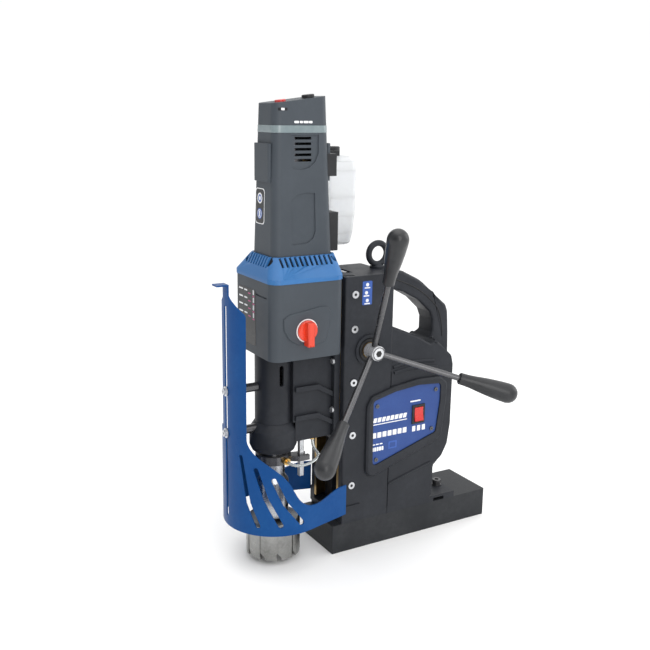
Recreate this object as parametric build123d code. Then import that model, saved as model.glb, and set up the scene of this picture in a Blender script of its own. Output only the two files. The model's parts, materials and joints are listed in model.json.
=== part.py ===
from build123d import *
import os
from math import atan2, cos, degrees, pi, radians, sin, sqrt, tan

os.makedirs("parts", exist_ok=True)

# Magnetic drill press.  Millimetres.  The origin is the middle of the magnet's underside.
# +Z is up, -Y is the front (cutter side), +Y the carrying handle, +X the feed lever side.

# ---- driving dimensions: magnet and stand ----
magnet_width = 86.0
magnet_length = 270.0
magnet_height = 42.0
groove_width = 14.0
groove_depth = 30.0
groove_loop_width = 46.0
coil_clear = 0.3
coil_height = 25.0

stand_half = 43.0
column_front = -121.0
column_back = -44.0
column_top = 391.0
column_wall = 8.0
foot_height = 9.0
foot_back = 76.0
boss_half = 19.0
boss_back = -30.0

# ---- dovetail guide, gibs, rack and pinion ----
guide_depth = 18.05
guide_half_front = 33.0
guide_half_back = 38.0
gib_thickness = 5.0
gib_bottom = 58.0
gib_top = 383.0
slide_clear = 0.35
slide_bottom = 165.0
slide_plate_half = 33.0
slide_plate_front = -130.0
plate_gap = 0.4
rack_half = 9.0
gear_pressure = 20.0
feed_module = 2.0
pinion_teeth = 12
pinion_y = -83.5
pinion_z = 289.6
pinion_half = 11.0
rack_base = 5.3
mesh_slack = 0.25
tooth_slack = 0.14
tooth_tip = 0.85

# ---- feed hub and levers ----
hub_radius = 10.0
hub_start = 46.0
hub_end = 69.0
shaft_radius = 8.0
running_gap = 0.05
bush_radius = 12.0
hub_ring_radius = 17.0
hub_ring_height = 2.5
lever_root_x = 55.0
lever_splay = 29.0
lever_angle = 100.6
lever_count = 3
lever_rod_radius = 4.0
lever_rod_end = 190.0
lever_root = 6.0
grip_start = 121.0
grip_end = 204.0
grip_small = 8.0
grip_large = 13.5

# ---- spindle, gearbox and motor ----
spindle_y = -205.0
housing_half = 57.0
housing_front = -234.5
housing_back = -130.0
housing_bottom = 293.0
housing_top = 392.0
housing_corner = 14.0
housing_wall = 4.0
housing_floor = 8.0
lay_x = -24.0
second_module = 1.5
spindle_teeth = 32
lay_small_teeth = 18
first_module = 1.0
lay_large_teeth = 34
armature_teeth = 14
plate_thickness = 8.0

selector_y = -187.0
selector_z = 331.0
selector_plate = 2.0
selector_radius = 13.5

cap_skirt = 6.0
cap_top = 422.0
cap_wall = 3.0
cap_margin = 1.0

motor_bottom_half = 33.0
motor_bottom_front = -221.0
motor_bottom_back = -133.0
motor_top_half = 25.5
motor_top_front = -216.5
motor_top_back = -140.5
motor_corner = 11.0
motor_top = 610.0
motor_wall = 3.0
vent_top = 571.5
flank_top = 501.0
recess_depth = 1.4
louvre_count = 5
louvre_top = 567.5
louvre_pitch = 6.7
louvre_height = 3.2
louvre_front = -189.0
louvre_back = -165.0
brush_cover_half = 20.0
brush_cover_proud = 3.2
brush_cover_bottom = 514.0
brush_cover_top = 561.0
band_bottom = 574.0
band_top = 583.0
band_proud = 0.6
lid_front_drop = 10.0

tube_radius = 24.6
tube_bore = 20.0
nose_radius = 32.0
nose_bottom = 158.0
nose_top = 197.0
nose_shoulder = 187.0
nose_bore = 17.4
spindle_large = 16.0
spindle_small = 10.0
spindle_flange = 17.0
spindle_bottom = 153.0
drift_bottom = 250.0
drift_top = 278.0
drift_width = 6.0
taper_big = 11.9
taper_small = 9.3
taper_length = 88.0

arbor_radius = 15.9
arbor_large = 21.0
arbor_bottom = 62.0
shank_radius = 9.5
cutter_radius = 37.0
cutter_wall = 5.5
cutter_bottom = 8.0
cutter_top = 58.0
cutter_teeth = 10
shank_top = 92.0
screw_z = 76.0
pilot_radius = 3.9
pilot_tip = 5.0

coolant_ring_radius = 24.0
coolant_ring_bottom = 139.0
coolant_ring_top = 152.0
rod_x = 19.5
rod_y = -173.0
rod_side = 7.0
rod_bottom = 118.0

fitting_y = -199.0
fitting_z = 145.5
hose_radius = 2.0
hose_route = [(33, -199, 145.5), (42, -199, 145.5), (48, -189, 144.5), (49, -175, 146), (46, -163, 149.5),
              (38.5, -155.5, 150), (29, -152.5, 150.5), (20, -152.5, 153.5), (15.3, -152.8, 159.5),
              (15, -153, 166)]
hose_start = Vector(*hose_route[0])
hose_end = Vector(*hose_route[-1])

bracket_half = 25.0
bracket_front = -188.0
bracket_bottom = 170.0
bracket_wall = 5.0

# ---- cutter guard ----
guard_radius = 70.0
guard_sheet = 2.0
guard_centre_y = -203.0
guard_bottom = 60.0
guard_top = 366.0
guard_wrap = 105.0
guard_back = -118.0
guard_left = -14.0
guard_right_y = -262.0
slot_width = 6.4
slot_bottom = 73.0
slot_top = 361.0
post_heights = (190.0, 247.0)
post_radius = 6.0
guard_gap = 0.35

# ---- handle and rear housing ----
handle_half = 18.0
rear_wall = 4.0
cover_thickness = 6.0
cover_corner = 8.0
panel_corner = 5.0
panel_clear = 0.3
panel_thickness = 1.5
switch_y = 0.7
switch_z = 186.0
board_bottom = 150.0
board_top = 222.0
side_screw_y = -106.0
side_screw_heights = (97.5, 171.0, 246.0, 320.0, 367.0)
eye_y = -44.0
eye_z = 411.0
eye_ring = 14.5
eye_wire = 4.2

# ---- coolant bottle ----
bottle_left = -95.0
bottle_right = -47.0
bottle_front = -101.0
bottle_back = -47.0
strap_thickness = 11.0
bottle_bottom = 416.0
bottle_top = 541.0

# places worked out from the sizes above
lay_distance = (spindle_teeth + lay_small_teeth) * second_module / 2
motor_distance = (lay_large_teeth + armature_teeth) * first_module / 2
lay_y = spindle_y + sqrt(lay_distance ** 2 - lay_x ** 2)
motor_x = lay_x + motor_distance
motor_y = lay_y
pinion_pitch = feed_module * pinion_teeth / 2
rack_pitch_y = pinion_y - pinion_pitch
rack_tip_y = rack_pitch_y + feed_module * 0.9
guide_back = column_front + guide_depth
tenon_back = guide_back - slide_clear
gearbox_floor_top = housing_bottom + housing_floor
motor_base = housing_top + plate_thickness
foot_top = magnet_height + foot_height


def block(x0, x1, y0, y1, z0, z1):
    return Pos((x0 + x1) / 2, (y0 + y1) / 2, (z0 + z1) / 2) * Box(x1 - x0, y1 - y0, z1 - z0)


def rod_along_z(radius, x, y, z0, z1):
    return Pos(x, y, (z0 + z1) / 2) * Cylinder(radius, z1 - z0)


def rod_along_x(radius, y, z, x0, x1):
    return Pos((x0 + x1) / 2, y, z) * Rot(0, 90, 0) * Cylinder(radius, x1 - x0)


def rod_along_y(radius, x, z, y0, y1):
    return Pos(x, (y0 + y1) / 2, z) * Rot(90, 0, 0) * Cylinder(radius, y1 - y0)


def cone_along_z(low_radius, high_radius, x, y, z0, z1):
    return Pos(x, y, (z0 + z1) / 2) * Cone(low_radius, high_radius, z1 - z0)


def rounded_corners(outline, radius, after_y=-1000):
    # rounds the corners of an outline that lie behind a given Y
    if radius == 0:
        return outline
    return fillet(outline.vertices().filter_by(lambda corner: corner.Y > after_y), radius)


def side_plate(points, x0, x1, radius=0, after_y=-1000):
    # a plate whose outline lies in the Y-Z plane
    outline = make_face(Plane.YZ.offset(x0) * Polyline(*points, close=True))
    return extrude(rounded_corners(outline, radius, after_y), amount=x1 - x0, dir=(1, 0, 0))


def front_plate(points, y0, y1, radius=0):
    # a plate whose outline lies in the X-Z plane
    outline = make_face(Plane.XZ.offset(-y0) * Polyline(*points, close=True))
    return extrude(rounded_corners(outline, radius), amount=y1 - y0, dir=(0, 1, 0))


def plan_plate(points, z0, z1):
    outline = make_face(Plane.XY.offset(z0) * Polyline(*points, close=True))
    return extrude(outline, amount=z1 - z0, dir=(0, 0, 1))


def rounded_block(x0, x1, y0, y1, z0, z1, radius):
    outline = RectangleRounded(x1 - x0, y1 - y0, radius)
    return extrude(Pos((x0 + x1) / 2, (y0 + y1) / 2, z0) * outline, amount=z1 - z0)


def tapered_block(low, high, z0, z1):
    # low and high are (x0, x1, y0, y1, corner radius)
    faces = []
    for (x0, x1, y0, y1, radius), z in ((low, z0), (high, z1)):
        outline = RectangleRounded(x1 - x0, y1 - y0, radius)
        faces.append(Pos((x0 + x1) / 2, (y0 + y1) / 2, z) * outline)
    return loft(faces)


def hexagon_prism(across_flats, z0, z1):
    return extrude(Pos(0, 0, z0) * RegularPolygon(across_flats / sqrt(3), 6), amount=z1 - z0)


def cap_screw(shank_radius, shank_length, head_radius, head_height, socket):
    # a socket screw along +Z: the head stands on z = 0 and the shank hangs below
    head = rod_along_z(head_radius, 0, 0, 0, head_height)
    shank = rod_along_z(shank_radius, 0, 0, -shank_length, 0)
    return head + shank - hexagon_prism(socket, head_height * 0.4, head_height + 1)


def along_x(shape, x, y, z, way=1):
    return Pos(x, y, z) * Rot(0, 90 * way, 0) * shape


def along_y(shape, x, y, z, way=1):
    return Pos(x, y, z) * Rot(-90 * way, 0, 0) * shape


def gear_face(teeth, module, phase, slack=tooth_slack):
    # straight-flanked teeth: half widths at root, pitch circle and tip, as angles
    pitch = module * teeth / 2
    lean = tan(radians(gear_pressure + 3))
    half_pitch = (pi * module / 4) - slack
    levels = (
        (pitch - 1.15 * module, half_pitch + 1.0 * module * lean),
        (pitch, half_pitch),
        (pitch + tooth_tip * module, half_pitch - tooth_tip * module * lean),
    )
    points = []
    for tooth in range(teeth):
        middle = radians(phase) + tooth * 2 * pi / teeth
        for radius, half in levels:
            points.append((radius * cos(middle - half / radius), radius * sin(middle - half / radius)))
        for radius, half in reversed(levels):
            points.append((radius * cos(middle + half / radius), radius * sin(middle + half / radius)))
    return make_face(Polyline(*points, close=True))


def gear_along_z(teeth, module, phase, x, y, z0, z1, slack=tooth_slack):
    return extrude(Pos(x, y, z0) * gear_face(teeth, module, phase, slack), amount=z1 - z0)


def save(node, *shapes):
    solids = []
    for shape in shapes:
        solids.extend(shape.solids())
    body = solids[0] if len(solids) == 1 else Compound(children=solids)
    body.label = node
    export_step(body, f"parts/{node}.step")
    volume = sum(solid.volume for solid in solids)
    print(f"{node}: {len(solids)} solids, {volume / 1000:.1f} cm3")


# ---- magnet ----
def magnet():
    half_x = groove_loop_width / 2
    half_y = magnet_length / 2 - 28

    def loop(extra_in, extra_out, z0, z1):
        outer = rounded_block(-half_x - extra_out, half_x + extra_out, -half_y - extra_out,
                              half_y + extra_out, z0, z1, 18 + extra_out)
        inner = rounded_block(-half_x + extra_in, half_x - extra_in, -half_y + extra_in,
                              half_y - extra_in, z0 - 1, z1 + 1, 18 - extra_in)
        return outer - inner

    body = block(-magnet_width / 2, magnet_width / 2, -magnet_length / 2, magnet_length / 2,
                 0, magnet_height)
    body = chamfer(body.edges().filter_by(Axis.Z), 1.2)
    body = body - loop(groove_width, 0, -1, groove_depth)
    for x, y in foot_screw_places():
        body -= rod_along_z(4.0, x, y, magnet_height - 9, magnet_height + 1)
    body -= rod_along_z(3.0, 0, -30, groove_depth - 2, magnet_height + 1)
    resin_top = 3.0
    coil = loop(groove_width - coil_clear, -coil_clear, resin_top, resin_top + coil_height)
    resin = loop(groove_width, 0, 0.3, resin_top)
    save("magnet_core", body)
    save("magnet_coil", coil)
    save("coil_resin", resin)


def foot_screw_places():
    return [(-30.0, 66.0), (13.0, 66.0), (-31.0, -60.0), (31.0, -60.0)]


# ---- column: dovetail guide at the front, open casting at the back ----
def guide_cut(grow, z0, z1):
    front = guide_half_front + grow
    back = guide_half_back + grow
    points = [(-front, column_front - 1), (front, column_front - 1),
              (back, guide_back), (-back, guide_back)]
    return plan_plate(points, z0, z1)


def column():
    body = block(-stand_half, stand_half, column_front, column_back, magnet_height, column_top)
    body = fillet(body.edges().filter_by(Axis.Z), 2.5)
    body += block(-boss_half, boss_half, column_back - 1, boss_back, 368, column_top)
    body += block(-stand_half, stand_half, column_back - 1, foot_back, magnet_height, foot_top)
    body += block(-stand_half - 1.6, stand_half + 1.6, column_front, -92, magnet_height + 4, 68)
    body -= guide_cut(0, gib_bottom - 6, column_top + 1)
    cavity_half = stand_half - column_wall
    body -= block(-cavity_half, cavity_half, guide_back + column_wall, column_back + 1,
                  foot_top + 4, column_top - 14)
    body -= block(-14, 14, guide_back - 1, rack_tip_y + 1.5, gib_bottom - 6, column_top + 1)
    body -= rod_along_x(bush_radius, pinion_y, pinion_z, -stand_half - 1, stand_half + 1)
    body += (rod_along_x(hub_ring_radius + 4, pinion_y, pinion_z, stand_half, stand_half + hub_ring_height)
             - rod_along_x(hub_ring_radius, pinion_y, pinion_z, stand_half - 1, stand_half + 4))
    for z in side_screw_heights:
        for side in (-1, 1):
            body -= rod_along_x(3.0, side_screw_y, z, min(side * 30, side * 50), max(side * 30, side * 50))
            body -= rod_along_x(5.2, side_screw_y, z, min(side * 41, side * 50), max(side * 41, side * 50))
    for x, y in foot_screw_places():
        if y > 0:
            body -= rod_along_z(4.3, x, y, magnet_height - 1, foot_top + 1)
        else:
            body -= rod_along_z(4.3, x, y, magnet_height - 1, foot_top + 5)
            body -= rod_along_z(7.4, x, y, foot_top, foot_top + 30)
    body -= block(-stand_half - 1, stand_half + 1, 38, 57, magnet_height - 1, magnet_height + 5)
    body -= rod_along_z(5.0, 0, eye_y, column_top - 18, column_top + 1)
    body -= rod_along_z(3.0, 0, -30, magnet_height - 1, foot_top + 5)
    save("column", body)


def gibs():
    strips = []
    screws = []
    for side in (-1, 1):
        points = [(side * guide_half_front, column_front), (side * guide_half_back, guide_back),
                  (side * (guide_half_back - gib_thickness), guide_back),
                  (side * (guide_half_front - gib_thickness), column_front)]
        strips.append(plan_plate(points, gib_bottom, gib_top))
        for z in side_screw_heights:
            screw = cap_screw(3.0, 3.0, 5.0, 3.2, 4.0)
            screws.append(along_x(screw, side * 41.0, side_screw_y, z, side))
    save("gib_strips", *strips)
    save("gib_screws", *screws)


def bushes_and_shaft():
    bushes = []
    for side in (-1, 1):
        inner = side * (stand_half - column_wall)
        outer = side * (stand_half + (1.5 if side > 0 else -0.5))
        ring = rod_along_x(bush_radius, pinion_y, pinion_z, min(inner, outer), max(inner, outer))
        bushes.append(ring - rod_along_x(shaft_radius + running_gap, pinion_y, pinion_z, -60, 60))
    save("hub_bushes", *bushes)
    shaft = rod_along_x(shaft_radius, pinion_y, pinion_z, -stand_half - 3, hub_end - 7)
    pinion = extrude(Plane.YZ.offset(-pinion_half) * Pos(pinion_y, pinion_z)
                     * gear_face(pinion_teeth, feed_module, 180, mesh_slack), amount=2 * pinion_half)
    shaft -= rod_along_x(shaft_radius + 1, pinion_y, pinion_z, -stand_half - 1.9, -stand_half - 0.8) - \
        rod_along_x(shaft_radius - 1, pinion_y, pinion_z, -stand_half - 3, -stand_half)
    save("pinion_shaft", shaft + pinion)
    ring = rod_along_x(shaft_radius + 3, pinion_y, pinion_z, -stand_half - 1.8, -stand_half - 0.9)
    ring -= rod_along_x(shaft_radius - 1, pinion_y, pinion_z, -60, 0)
    save("shaft_circlip", ring)


# ---- levers ----
def lever_axes():
    for index in range(lever_count):
        turn = radians(lever_angle - index * 360 / lever_count)
        splay = radians(lever_splay)
        way = Vector(sin(splay), cos(splay) * cos(turn), cos(splay) * sin(turn))
        yield Plane(origin=(lever_root_x, pinion_y, pinion_z), z_dir=way)


def levers():
    hub = rod_along_x(hub_radius, pinion_y, pinion_z, hub_start, hub_end)
    hub = chamfer(hub.edges().filter_by(GeomType.CIRCLE), 1.0)
    hub -= rod_along_x(shaft_radius, pinion_y, pinion_z, hub_start - 1, hub_end - 7)
    hub -= rod_along_x(2.5, pinion_y, pinion_z, hub_end - 8, hub_end + 1)
    rods = []
    grips = []
    for axis in lever_axes():
        hole = extrude(axis.offset(lever_root + 6) * Circle(lever_rod_radius), amount=30)
        hub -= hole
        rods.append(extrude(axis.offset(lever_root + 6) * Circle(lever_rod_radius),
                            amount=lever_rod_end - lever_root - 6))
        outline = [(0, grip_start), (grip_small - 1.5, grip_start), (grip_small, grip_start + 1.5),
                   (grip_small, grip_start + 4)]
        side = Polyline(*outline)
        flank = Spline((grip_small, grip_start + 4), (grip_small + 2.6, grip_start + 32),
                       (grip_large, grip_end - grip_large - 1), tangents=((0, 1), (0.03, 1)))
        crown = Spline((grip_large, grip_end - grip_large - 1), (grip_large * 0.72, grip_end - 4.0),
                       (0, grip_end), tangents=((0, 1), (-1, 0)))
        close = Line((0, grip_end), (0, grip_start))
        profile = make_face(Plane.XZ * (side + flank + crown + close))
        grip = revolve(profile, Axis.Z)
        grip -= rod_along_z(lever_rod_radius, 0, 0, grip_start - 1, lever_rod_end)
        grips.append(axis.location * grip)
    hub_cross = rod_along_x(shaft_radius, pinion_y, pinion_z, -60, hub_end - 7)
    save("lever_hub", hub)
    save("lever_rods", *[rod - hub_cross for rod in rods])
    save("lever_grips", *grips)


# ---- rear housing with the carrying handle ----
def rear_housing():
    wide = [(column_back, foot_top), (34, foot_top), (34, 100), (49, 113), (58, 130), (62, 160), (62, 262),
            (40, 286), (column_back, 318)]
    body = side_plate(wide, -stand_half, stand_half, 7, 0)
    shoulder = [(-stand_half - 20, foot_top - 20), (stand_half + 20, foot_top - 20),
                (stand_half + 20, 150), (stand_half, 250), (handle_half, 322), (-handle_half, 322),
                (-stand_half, 250), (-stand_half - 20, 150)]
    body &= front_plate(shoulder, column_back - 1, 80, 16)
    handle = [(boss_back, column_top), (-10, 386), (16, 373), (44, 350), (66, 332), (70, 322), (71, 246),
              (68, 225), (60, 205), (0, 205), (-20, 260), (column_back, 270), (column_back, 368),
              (boss_back, 368)]
    grip = side_plate(handle, -handle_half, handle_half, 6.5, boss_back + 1)
    body += grip
    gap = [(column_back - 1, 314), (-30, 311), (12, 293), (31, 281), (38, 284), (42, 294), (42, 312),
           (37, 324), (16, 343), (-10, 357), (boss_back, 363), (column_back - 1, 366)]
    body -= side_plate(gap, -50, 50, 4.5, boss_back + 1)
    cavity = [(-37, 122), (28, 143), (38, 152), (43, 202), (43, 226), (-37, 226)]
    body -= side_plate(cavity, -stand_half + rear_wall + 6, stand_half + 1)
    for y, z in gland_places():
        body -= rod_along_x(6.2, y, z, -stand_half - 1, 0)
    for y, z in left_screw_places():
        body -= rod_along_x(2.2, y, z, -stand_half - 1, -stand_half + 4)
    save("rear_housing", body)


def cover_outline(grow):
    return [(-85 - grow, 116 - grow), (-85 - grow, 208 + grow), (-78, 222 + grow), (-40, 232 + grow),
            (0, 237 + grow), (38, 236 + grow), (50 + grow, 226), (50 + grow, 200), (44 + grow, 148 - grow),
            (36, 140 - grow), (-70, 106 - grow), (-80, 106 - grow)]


def panel_outline(grow):
    return [(-75 - grow, 121 - grow), (-76 - grow, 216 + grow), (-40, 225 + grow), (0, 229 + grow),
            (38 + grow, 226 + grow), (38 + grow, 200), (32 + grow, 154 - grow)]


def covers():
    right = side_plate(cover_outline(0), stand_half, stand_half + cover_thickness, cover_corner)
    right = chamfer(right.faces().sort_by(Axis.X)[-1].edges(), 2.5)
    seat = stand_half + cover_thickness - 3.5
    right -= side_plate(panel_outline(panel_clear), seat, stand_half + cover_thickness + 1,
                        panel_corner + panel_clear)
    right -= side_plate([(-34, 130), (24, 150), (24, 212), (-34, 212)], stand_half - 1, seat + 1)
    left = side_plate(cover_outline(0), -stand_half - cover_thickness, -stand_half, cover_corner)
    left = chamfer(left.faces().sort_by(Axis.X)[0].edges(), 2.5)
    for y, z in gland_places():
        left -= rod_along_x(6.2, y, z, -60, 0)
    for y, z in left_screw_places():
        left -= rod_along_x(2.2, y, z, -60, -stand_half - 0.5)
        left -= rod_along_x(4.2, y, z, -60, -stand_half - cover_thickness + 2)
    panel = side_plate(panel_outline(0), seat, seat + panel_thickness, panel_corner)
    opening = block(seat - 2, seat + 5, switch_y - 9, switch_y + 9, switch_z - 12, switch_z + 12)
    panel -= opening
    screws = []
    for y, z in panel_screw_places():
        panel -= rod_along_x(1.6, y, z, seat - 1, seat + 3)
        right -= rod_along_x(1.6, y, z, stand_half + 0.2, seat + 1)
        screws.append(along_x(cap_screw(1.6, 2.2 + panel_thickness - 0.3, 2.9, 1.4, 2.0),
                              seat + panel_thickness, y, z))
    for y, z in left_screw_places():
        screws.append(along_x(cap_screw(2.2, 3.2, 4.0, 1.8, 2.4),
                              -stand_half - cover_thickness + 2, y, z, -1))
    save("side_cover_right", right)
    save("side_cover_left", left)
    save("control_panel", panel)
    save("panel_screws", *screws)


def gland_places():
    return [(-20.0, 130.0), (22.0, 160.0)]


def panel_screw_places():
    return [(-69.0, 208.0), (30.0, 218.0), (25.0, 160.0), (-69.0, 130.0)]


def left_screw_places():
    return [(-37.0, 222.0), (42.0, 226.0), (38.0, 154.0), (-37.0, 122.0)]


def switch():
    seat = stand_half + cover_thickness - 3.5
    face = seat + panel_thickness
    frame = block(face, face + 2.2, switch_y - 11, switch_y + 11, switch_z - 14, switch_z + 14)
    frame = chamfer(frame.faces().sort_by(Axis.X)[-1].edges(), 0.8)
    frame += block(seat - 16, face, switch_y - 9, switch_y + 9, switch_z - 12, switch_z + 12)
    frame -= block(face - 6, face + 4, switch_y - 7.6, switch_y + 7.6, switch_z - 10.8, switch_z + 10.8)
    frame -= rod_along_y(1.25, face + 0.5, switch_z, switch_y - 8.8, switch_y + 8.8)
    save("switch_frame", frame)
    half = 7.2
    profile = [(face - 3.4, switch_z - 4), (face + 0.6, switch_z - 10.0), (face + 3.4, switch_z - 10.0),
               (face + 2.4, switch_z), (face + 3.4, switch_z + 10.0), (face + 0.6, switch_z + 10.0),
               (face - 3.4, switch_z + 4)]
    rocker = front_plate(profile, switch_y - half, switch_y + half)
    rocker += rod_along_y(1.2, face + 0.5, switch_z, switch_y - 8.6, switch_y + 8.6)
    hinge = Axis((face + 0.5, switch_y, switch_z), (0, 1, 0))
    save("rocker_switch", rocker.rotate(hinge, -6))
    board = block(-18, -16, -33, 24, board_bottom, board_top)
    board += block(-16, 2, -26, -6, board_bottom + 12, board_bottom + 38)
    board += block(-16, -4, 2, 18, board_bottom + 44, board_bottom + 62)
    for y, z in ((-30, board_bottom + 3), (21, board_bottom + 3), (-30, board_top - 3), (21, board_top - 3)):
        board += rod_along_x(3, y, z, -stand_half + rear_wall + 6, -18)
    save("circuit_board", board)
    glands = []
    for y, z in gland_places():
        gland = rod_along_x(6.2, y, z, -stand_half - cover_thickness - 1, -stand_half + 8)
        hexagon = Pos(-stand_half - cover_thickness - 6, y, z) * Rot(0, 90, 0) * hexagon_prism(17, 0, 6)
        cone = Pos(-stand_half - cover_thickness - 9, y, z) * Rot(0, 90, 0) * Cone(5.2, 7.4, 6)
        bore = rod_along_x(3.6, y, z, -90, 0)
        glands.append(gland + hexagon + cone - bore)
    save("cable_glands", *glands)


def foot_fasteners():
    pieces = []
    for x, y in foot_screw_places():
        base = foot_top
        washer = rod_along_z(7.2, x, y, base, base + 1.6) - rod_along_z(4.0, x, y, base - 1, base + 3)
        screw = Pos(x, y, base + 1.6) * cap_screw(4.0, 18.0, 6.2, 7.5, 6.0)
        pieces.extend([washer, screw])
    save("foot_screws", *pieces)
    ring = Pos(0, eye_y, eye_z) * Rot(0, 90, 0) * Torus(eye_ring, eye_wire)
    collar = rod_along_z(10.5, 0, eye_y, column_top, column_top + 3)
    neck = cone_along_z(8.0, 4.6, 0, eye_y, column_top + 3, eye_z - eye_ring + 1)
    shank = rod_along_z(5.0, 0, eye_y, column_top - 16, column_top)
    save("eye_bolt", ring + collar + neck + shank)


# ---- carriage: slide, rack, bracket ----
def carriage_slide():
    front = guide_half_front - gib_thickness - slide_clear
    back = guide_half_back - gib_thickness - slide_clear
    lean = (guide_half_back - guide_half_front) / guide_depth
    points = [(-front, column_front - plate_gap), (front, column_front - plate_gap),
              (back - lean * slide_clear, tenon_back), (-back + lean * slide_clear, tenon_back)]
    body = plan_plate(points, slide_bottom, column_top)
    body += block(-slide_plate_half, slide_plate_half, slide_plate_front, column_front - plate_gap,
                  slide_bottom, column_top)
    for x, z in slide_screw_places():
        body -= rod_along_y(2.5, x, z, slide_plate_front - 1, slide_plate_front + 8)
    save("slide", body)

    pitch = pi * feed_module
    rack_face = rack_pitch_y - feed_module * 1.2
    rack = block(-rack_half, rack_half, tenon_back, rack_face, slide_bottom, column_top)
    lean = tan(radians(gear_pressure + 3))
    half_root = pitch / 4 - mesh_slack + 1.2 * feed_module * lean
    half_tip = pitch / 4 - mesh_slack - 0.9 * feed_module * lean
    base_y = rack_pitch_y - feed_module * 1.2
    low = int((slide_bottom - pinion_z) / pitch) + 1
    high = int((column_top - pinion_z) / pitch) - 1
    teeth = []
    for index in range(low, high):
        z = pinion_z + (index + 0.5) * pitch
        teeth.append(side_plate([(base_y - 0.5, z - half_root), (rack_tip_y, z - half_tip),
                                 (rack_tip_y, z + half_tip), (base_y - 0.5, z + half_root)],
                                -rack_half, rack_half))
    save("rack", rack.fuse(*teeth))


def slide_screw_places():
    return [(x, z) for x in (-29.5, 29.5) for z in (208.0, 276.0)]


def carriage_bracket():
    body = block(-bracket_half, bracket_half, bracket_front, slide_plate_front, bracket_bottom,
                 housing_bottom)
    body -= block(-bracket_half + bracket_wall, bracket_half - bracket_wall, bracket_front + 24,
                  slide_plate_front - bracket_wall, bracket_bottom + 6, housing_bottom + 1)
    for side in (-1, 1):
        x0 = min(side * bracket_half, side * (bracket_half + 5))
        for z in (207.0, 247.0):
            rib = [(bracket_front + 2, z), (-152, z), (slide_plate_front, z - 13),
                   (slide_plate_front, z - 20), (-153, z - 7), (bracket_front + 2, z - 7)]
            body += side_plate(rib, x0, x0 + 5)
    body -= rod_along_z(tube_radius, 0, spindle_y, nose_top - 1, housing_bottom + 1)
    body -= rod_along_z(nose_radius + 0.3, 0, spindle_y, nose_bottom - 1, nose_top + 0.3)
    body -= rod_along_z(2.9, hose_end.X, hose_end.Y, bracket_bottom - 1, bracket_bottom + 7)
    save("carriage_bracket", body)
    screws = []
    for x, z in slide_screw_places():
        screws.append(along_y(cap_screw(2.5, 7.0, 4.0, 2.6, 3.0), x, slide_plate_front, z, -1))
    save("slide_screws", *screws)


# ---- gearbox housing, bearing plate, vented cap ----
def gearbox_housing():
    body = rounded_block(-housing_half, housing_half, housing_front, housing_back, housing_bottom,
                         housing_top, housing_corner)
    body -= rounded_block(-housing_half + housing_wall, housing_half - housing_wall,
                          housing_front + housing_wall, housing_back - housing_wall,
                          gearbox_floor_top, housing_top + 1, housing_corner - housing_wall)
    body -= rod_along_z(tube_bore, 0, spindle_y, housing_bottom - 1, gearbox_floor_top + 1)
    body -= rod_along_z(5.05, lay_x, lay_y, gearbox_floor_top - 5, gearbox_floor_top + 1)
    plaque = side_plate(selector_outline(), housing_half, housing_half + selector_plate)
    body += chamfer(plaque.faces().sort_by(Axis.X)[-1].edges(), 1.0)
    body -= rod_along_x(4.05, selector_y, selector_z, housing_half - 6, housing_half + 4)
    body -= block(6, 40, housing_front - 1, housing_front + 1.2, 372.0, 374.2)
    for x, y in cap_screw_places():
        body += rod_along_z(5.5, x, y, housing_top - 20, housing_top) & \
            rounded_block(-housing_half, housing_half, housing_front, housing_back, housing_bottom,
                          housing_top, housing_corner)
    for x, y in cap_screw_places():
        body -= rod_along_z(1.9, x, y, housing_top - 14, housing_top + 1)
    save("gearbox_housing", body)


def selector_outline():
    return [(-220, 348), (-212, 353), (-166, 360), (-157, 359), (-152, 353), (-154, 333), (-159, 315.5),
            (-170, 311), (-200, 313.5), (-212, 321), (-219, 334)]


def cap_screw_places():
    return [(-31.0, -225.0), (31.0, -225.0), (-38.0, -137.5), (38.0, -137.5)]


def bearing_plate():
    body = rounded_block(-housing_half + 6, housing_half - 6, housing_front + 6, housing_back - 6,
                         housing_top, motor_base, 9)
    body -= rod_along_z(10.05, 0, spindle_y, housing_top - 1, housing_top + 5)
    body -= rod_along_z(5.05, lay_x, lay_y, housing_top - 1, housing_top + 5)
    body -= rod_along_z(9.0, motor_x, motor_y, housing_top - 1, motor_base + 1)
    for x, y in cap_screw_places():
        body -= rod_along_z(6.0, x, y, housing_top - 1, motor_base + 1)
    save("bearing_plate", body)


def motor_section(z, shrink):
    # outline of the motor casing at a height, drawn in by a margin
    share = (z - motor_base) / (motor_top - motor_base)
    half = motor_bottom_half + (motor_top_half - motor_bottom_half) * share
    front = motor_bottom_front + (motor_top_front - motor_bottom_front) * share
    back = motor_bottom_back + (motor_top_back - motor_bottom_back) * share
    return (-half + shrink, half - shrink, front + shrink, back - shrink, motor_corner - shrink)


def motor_block(z0, z1, shrink):
    return tapered_block(motor_section(z0, shrink), motor_section(z1, shrink), z0, z1)


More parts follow.
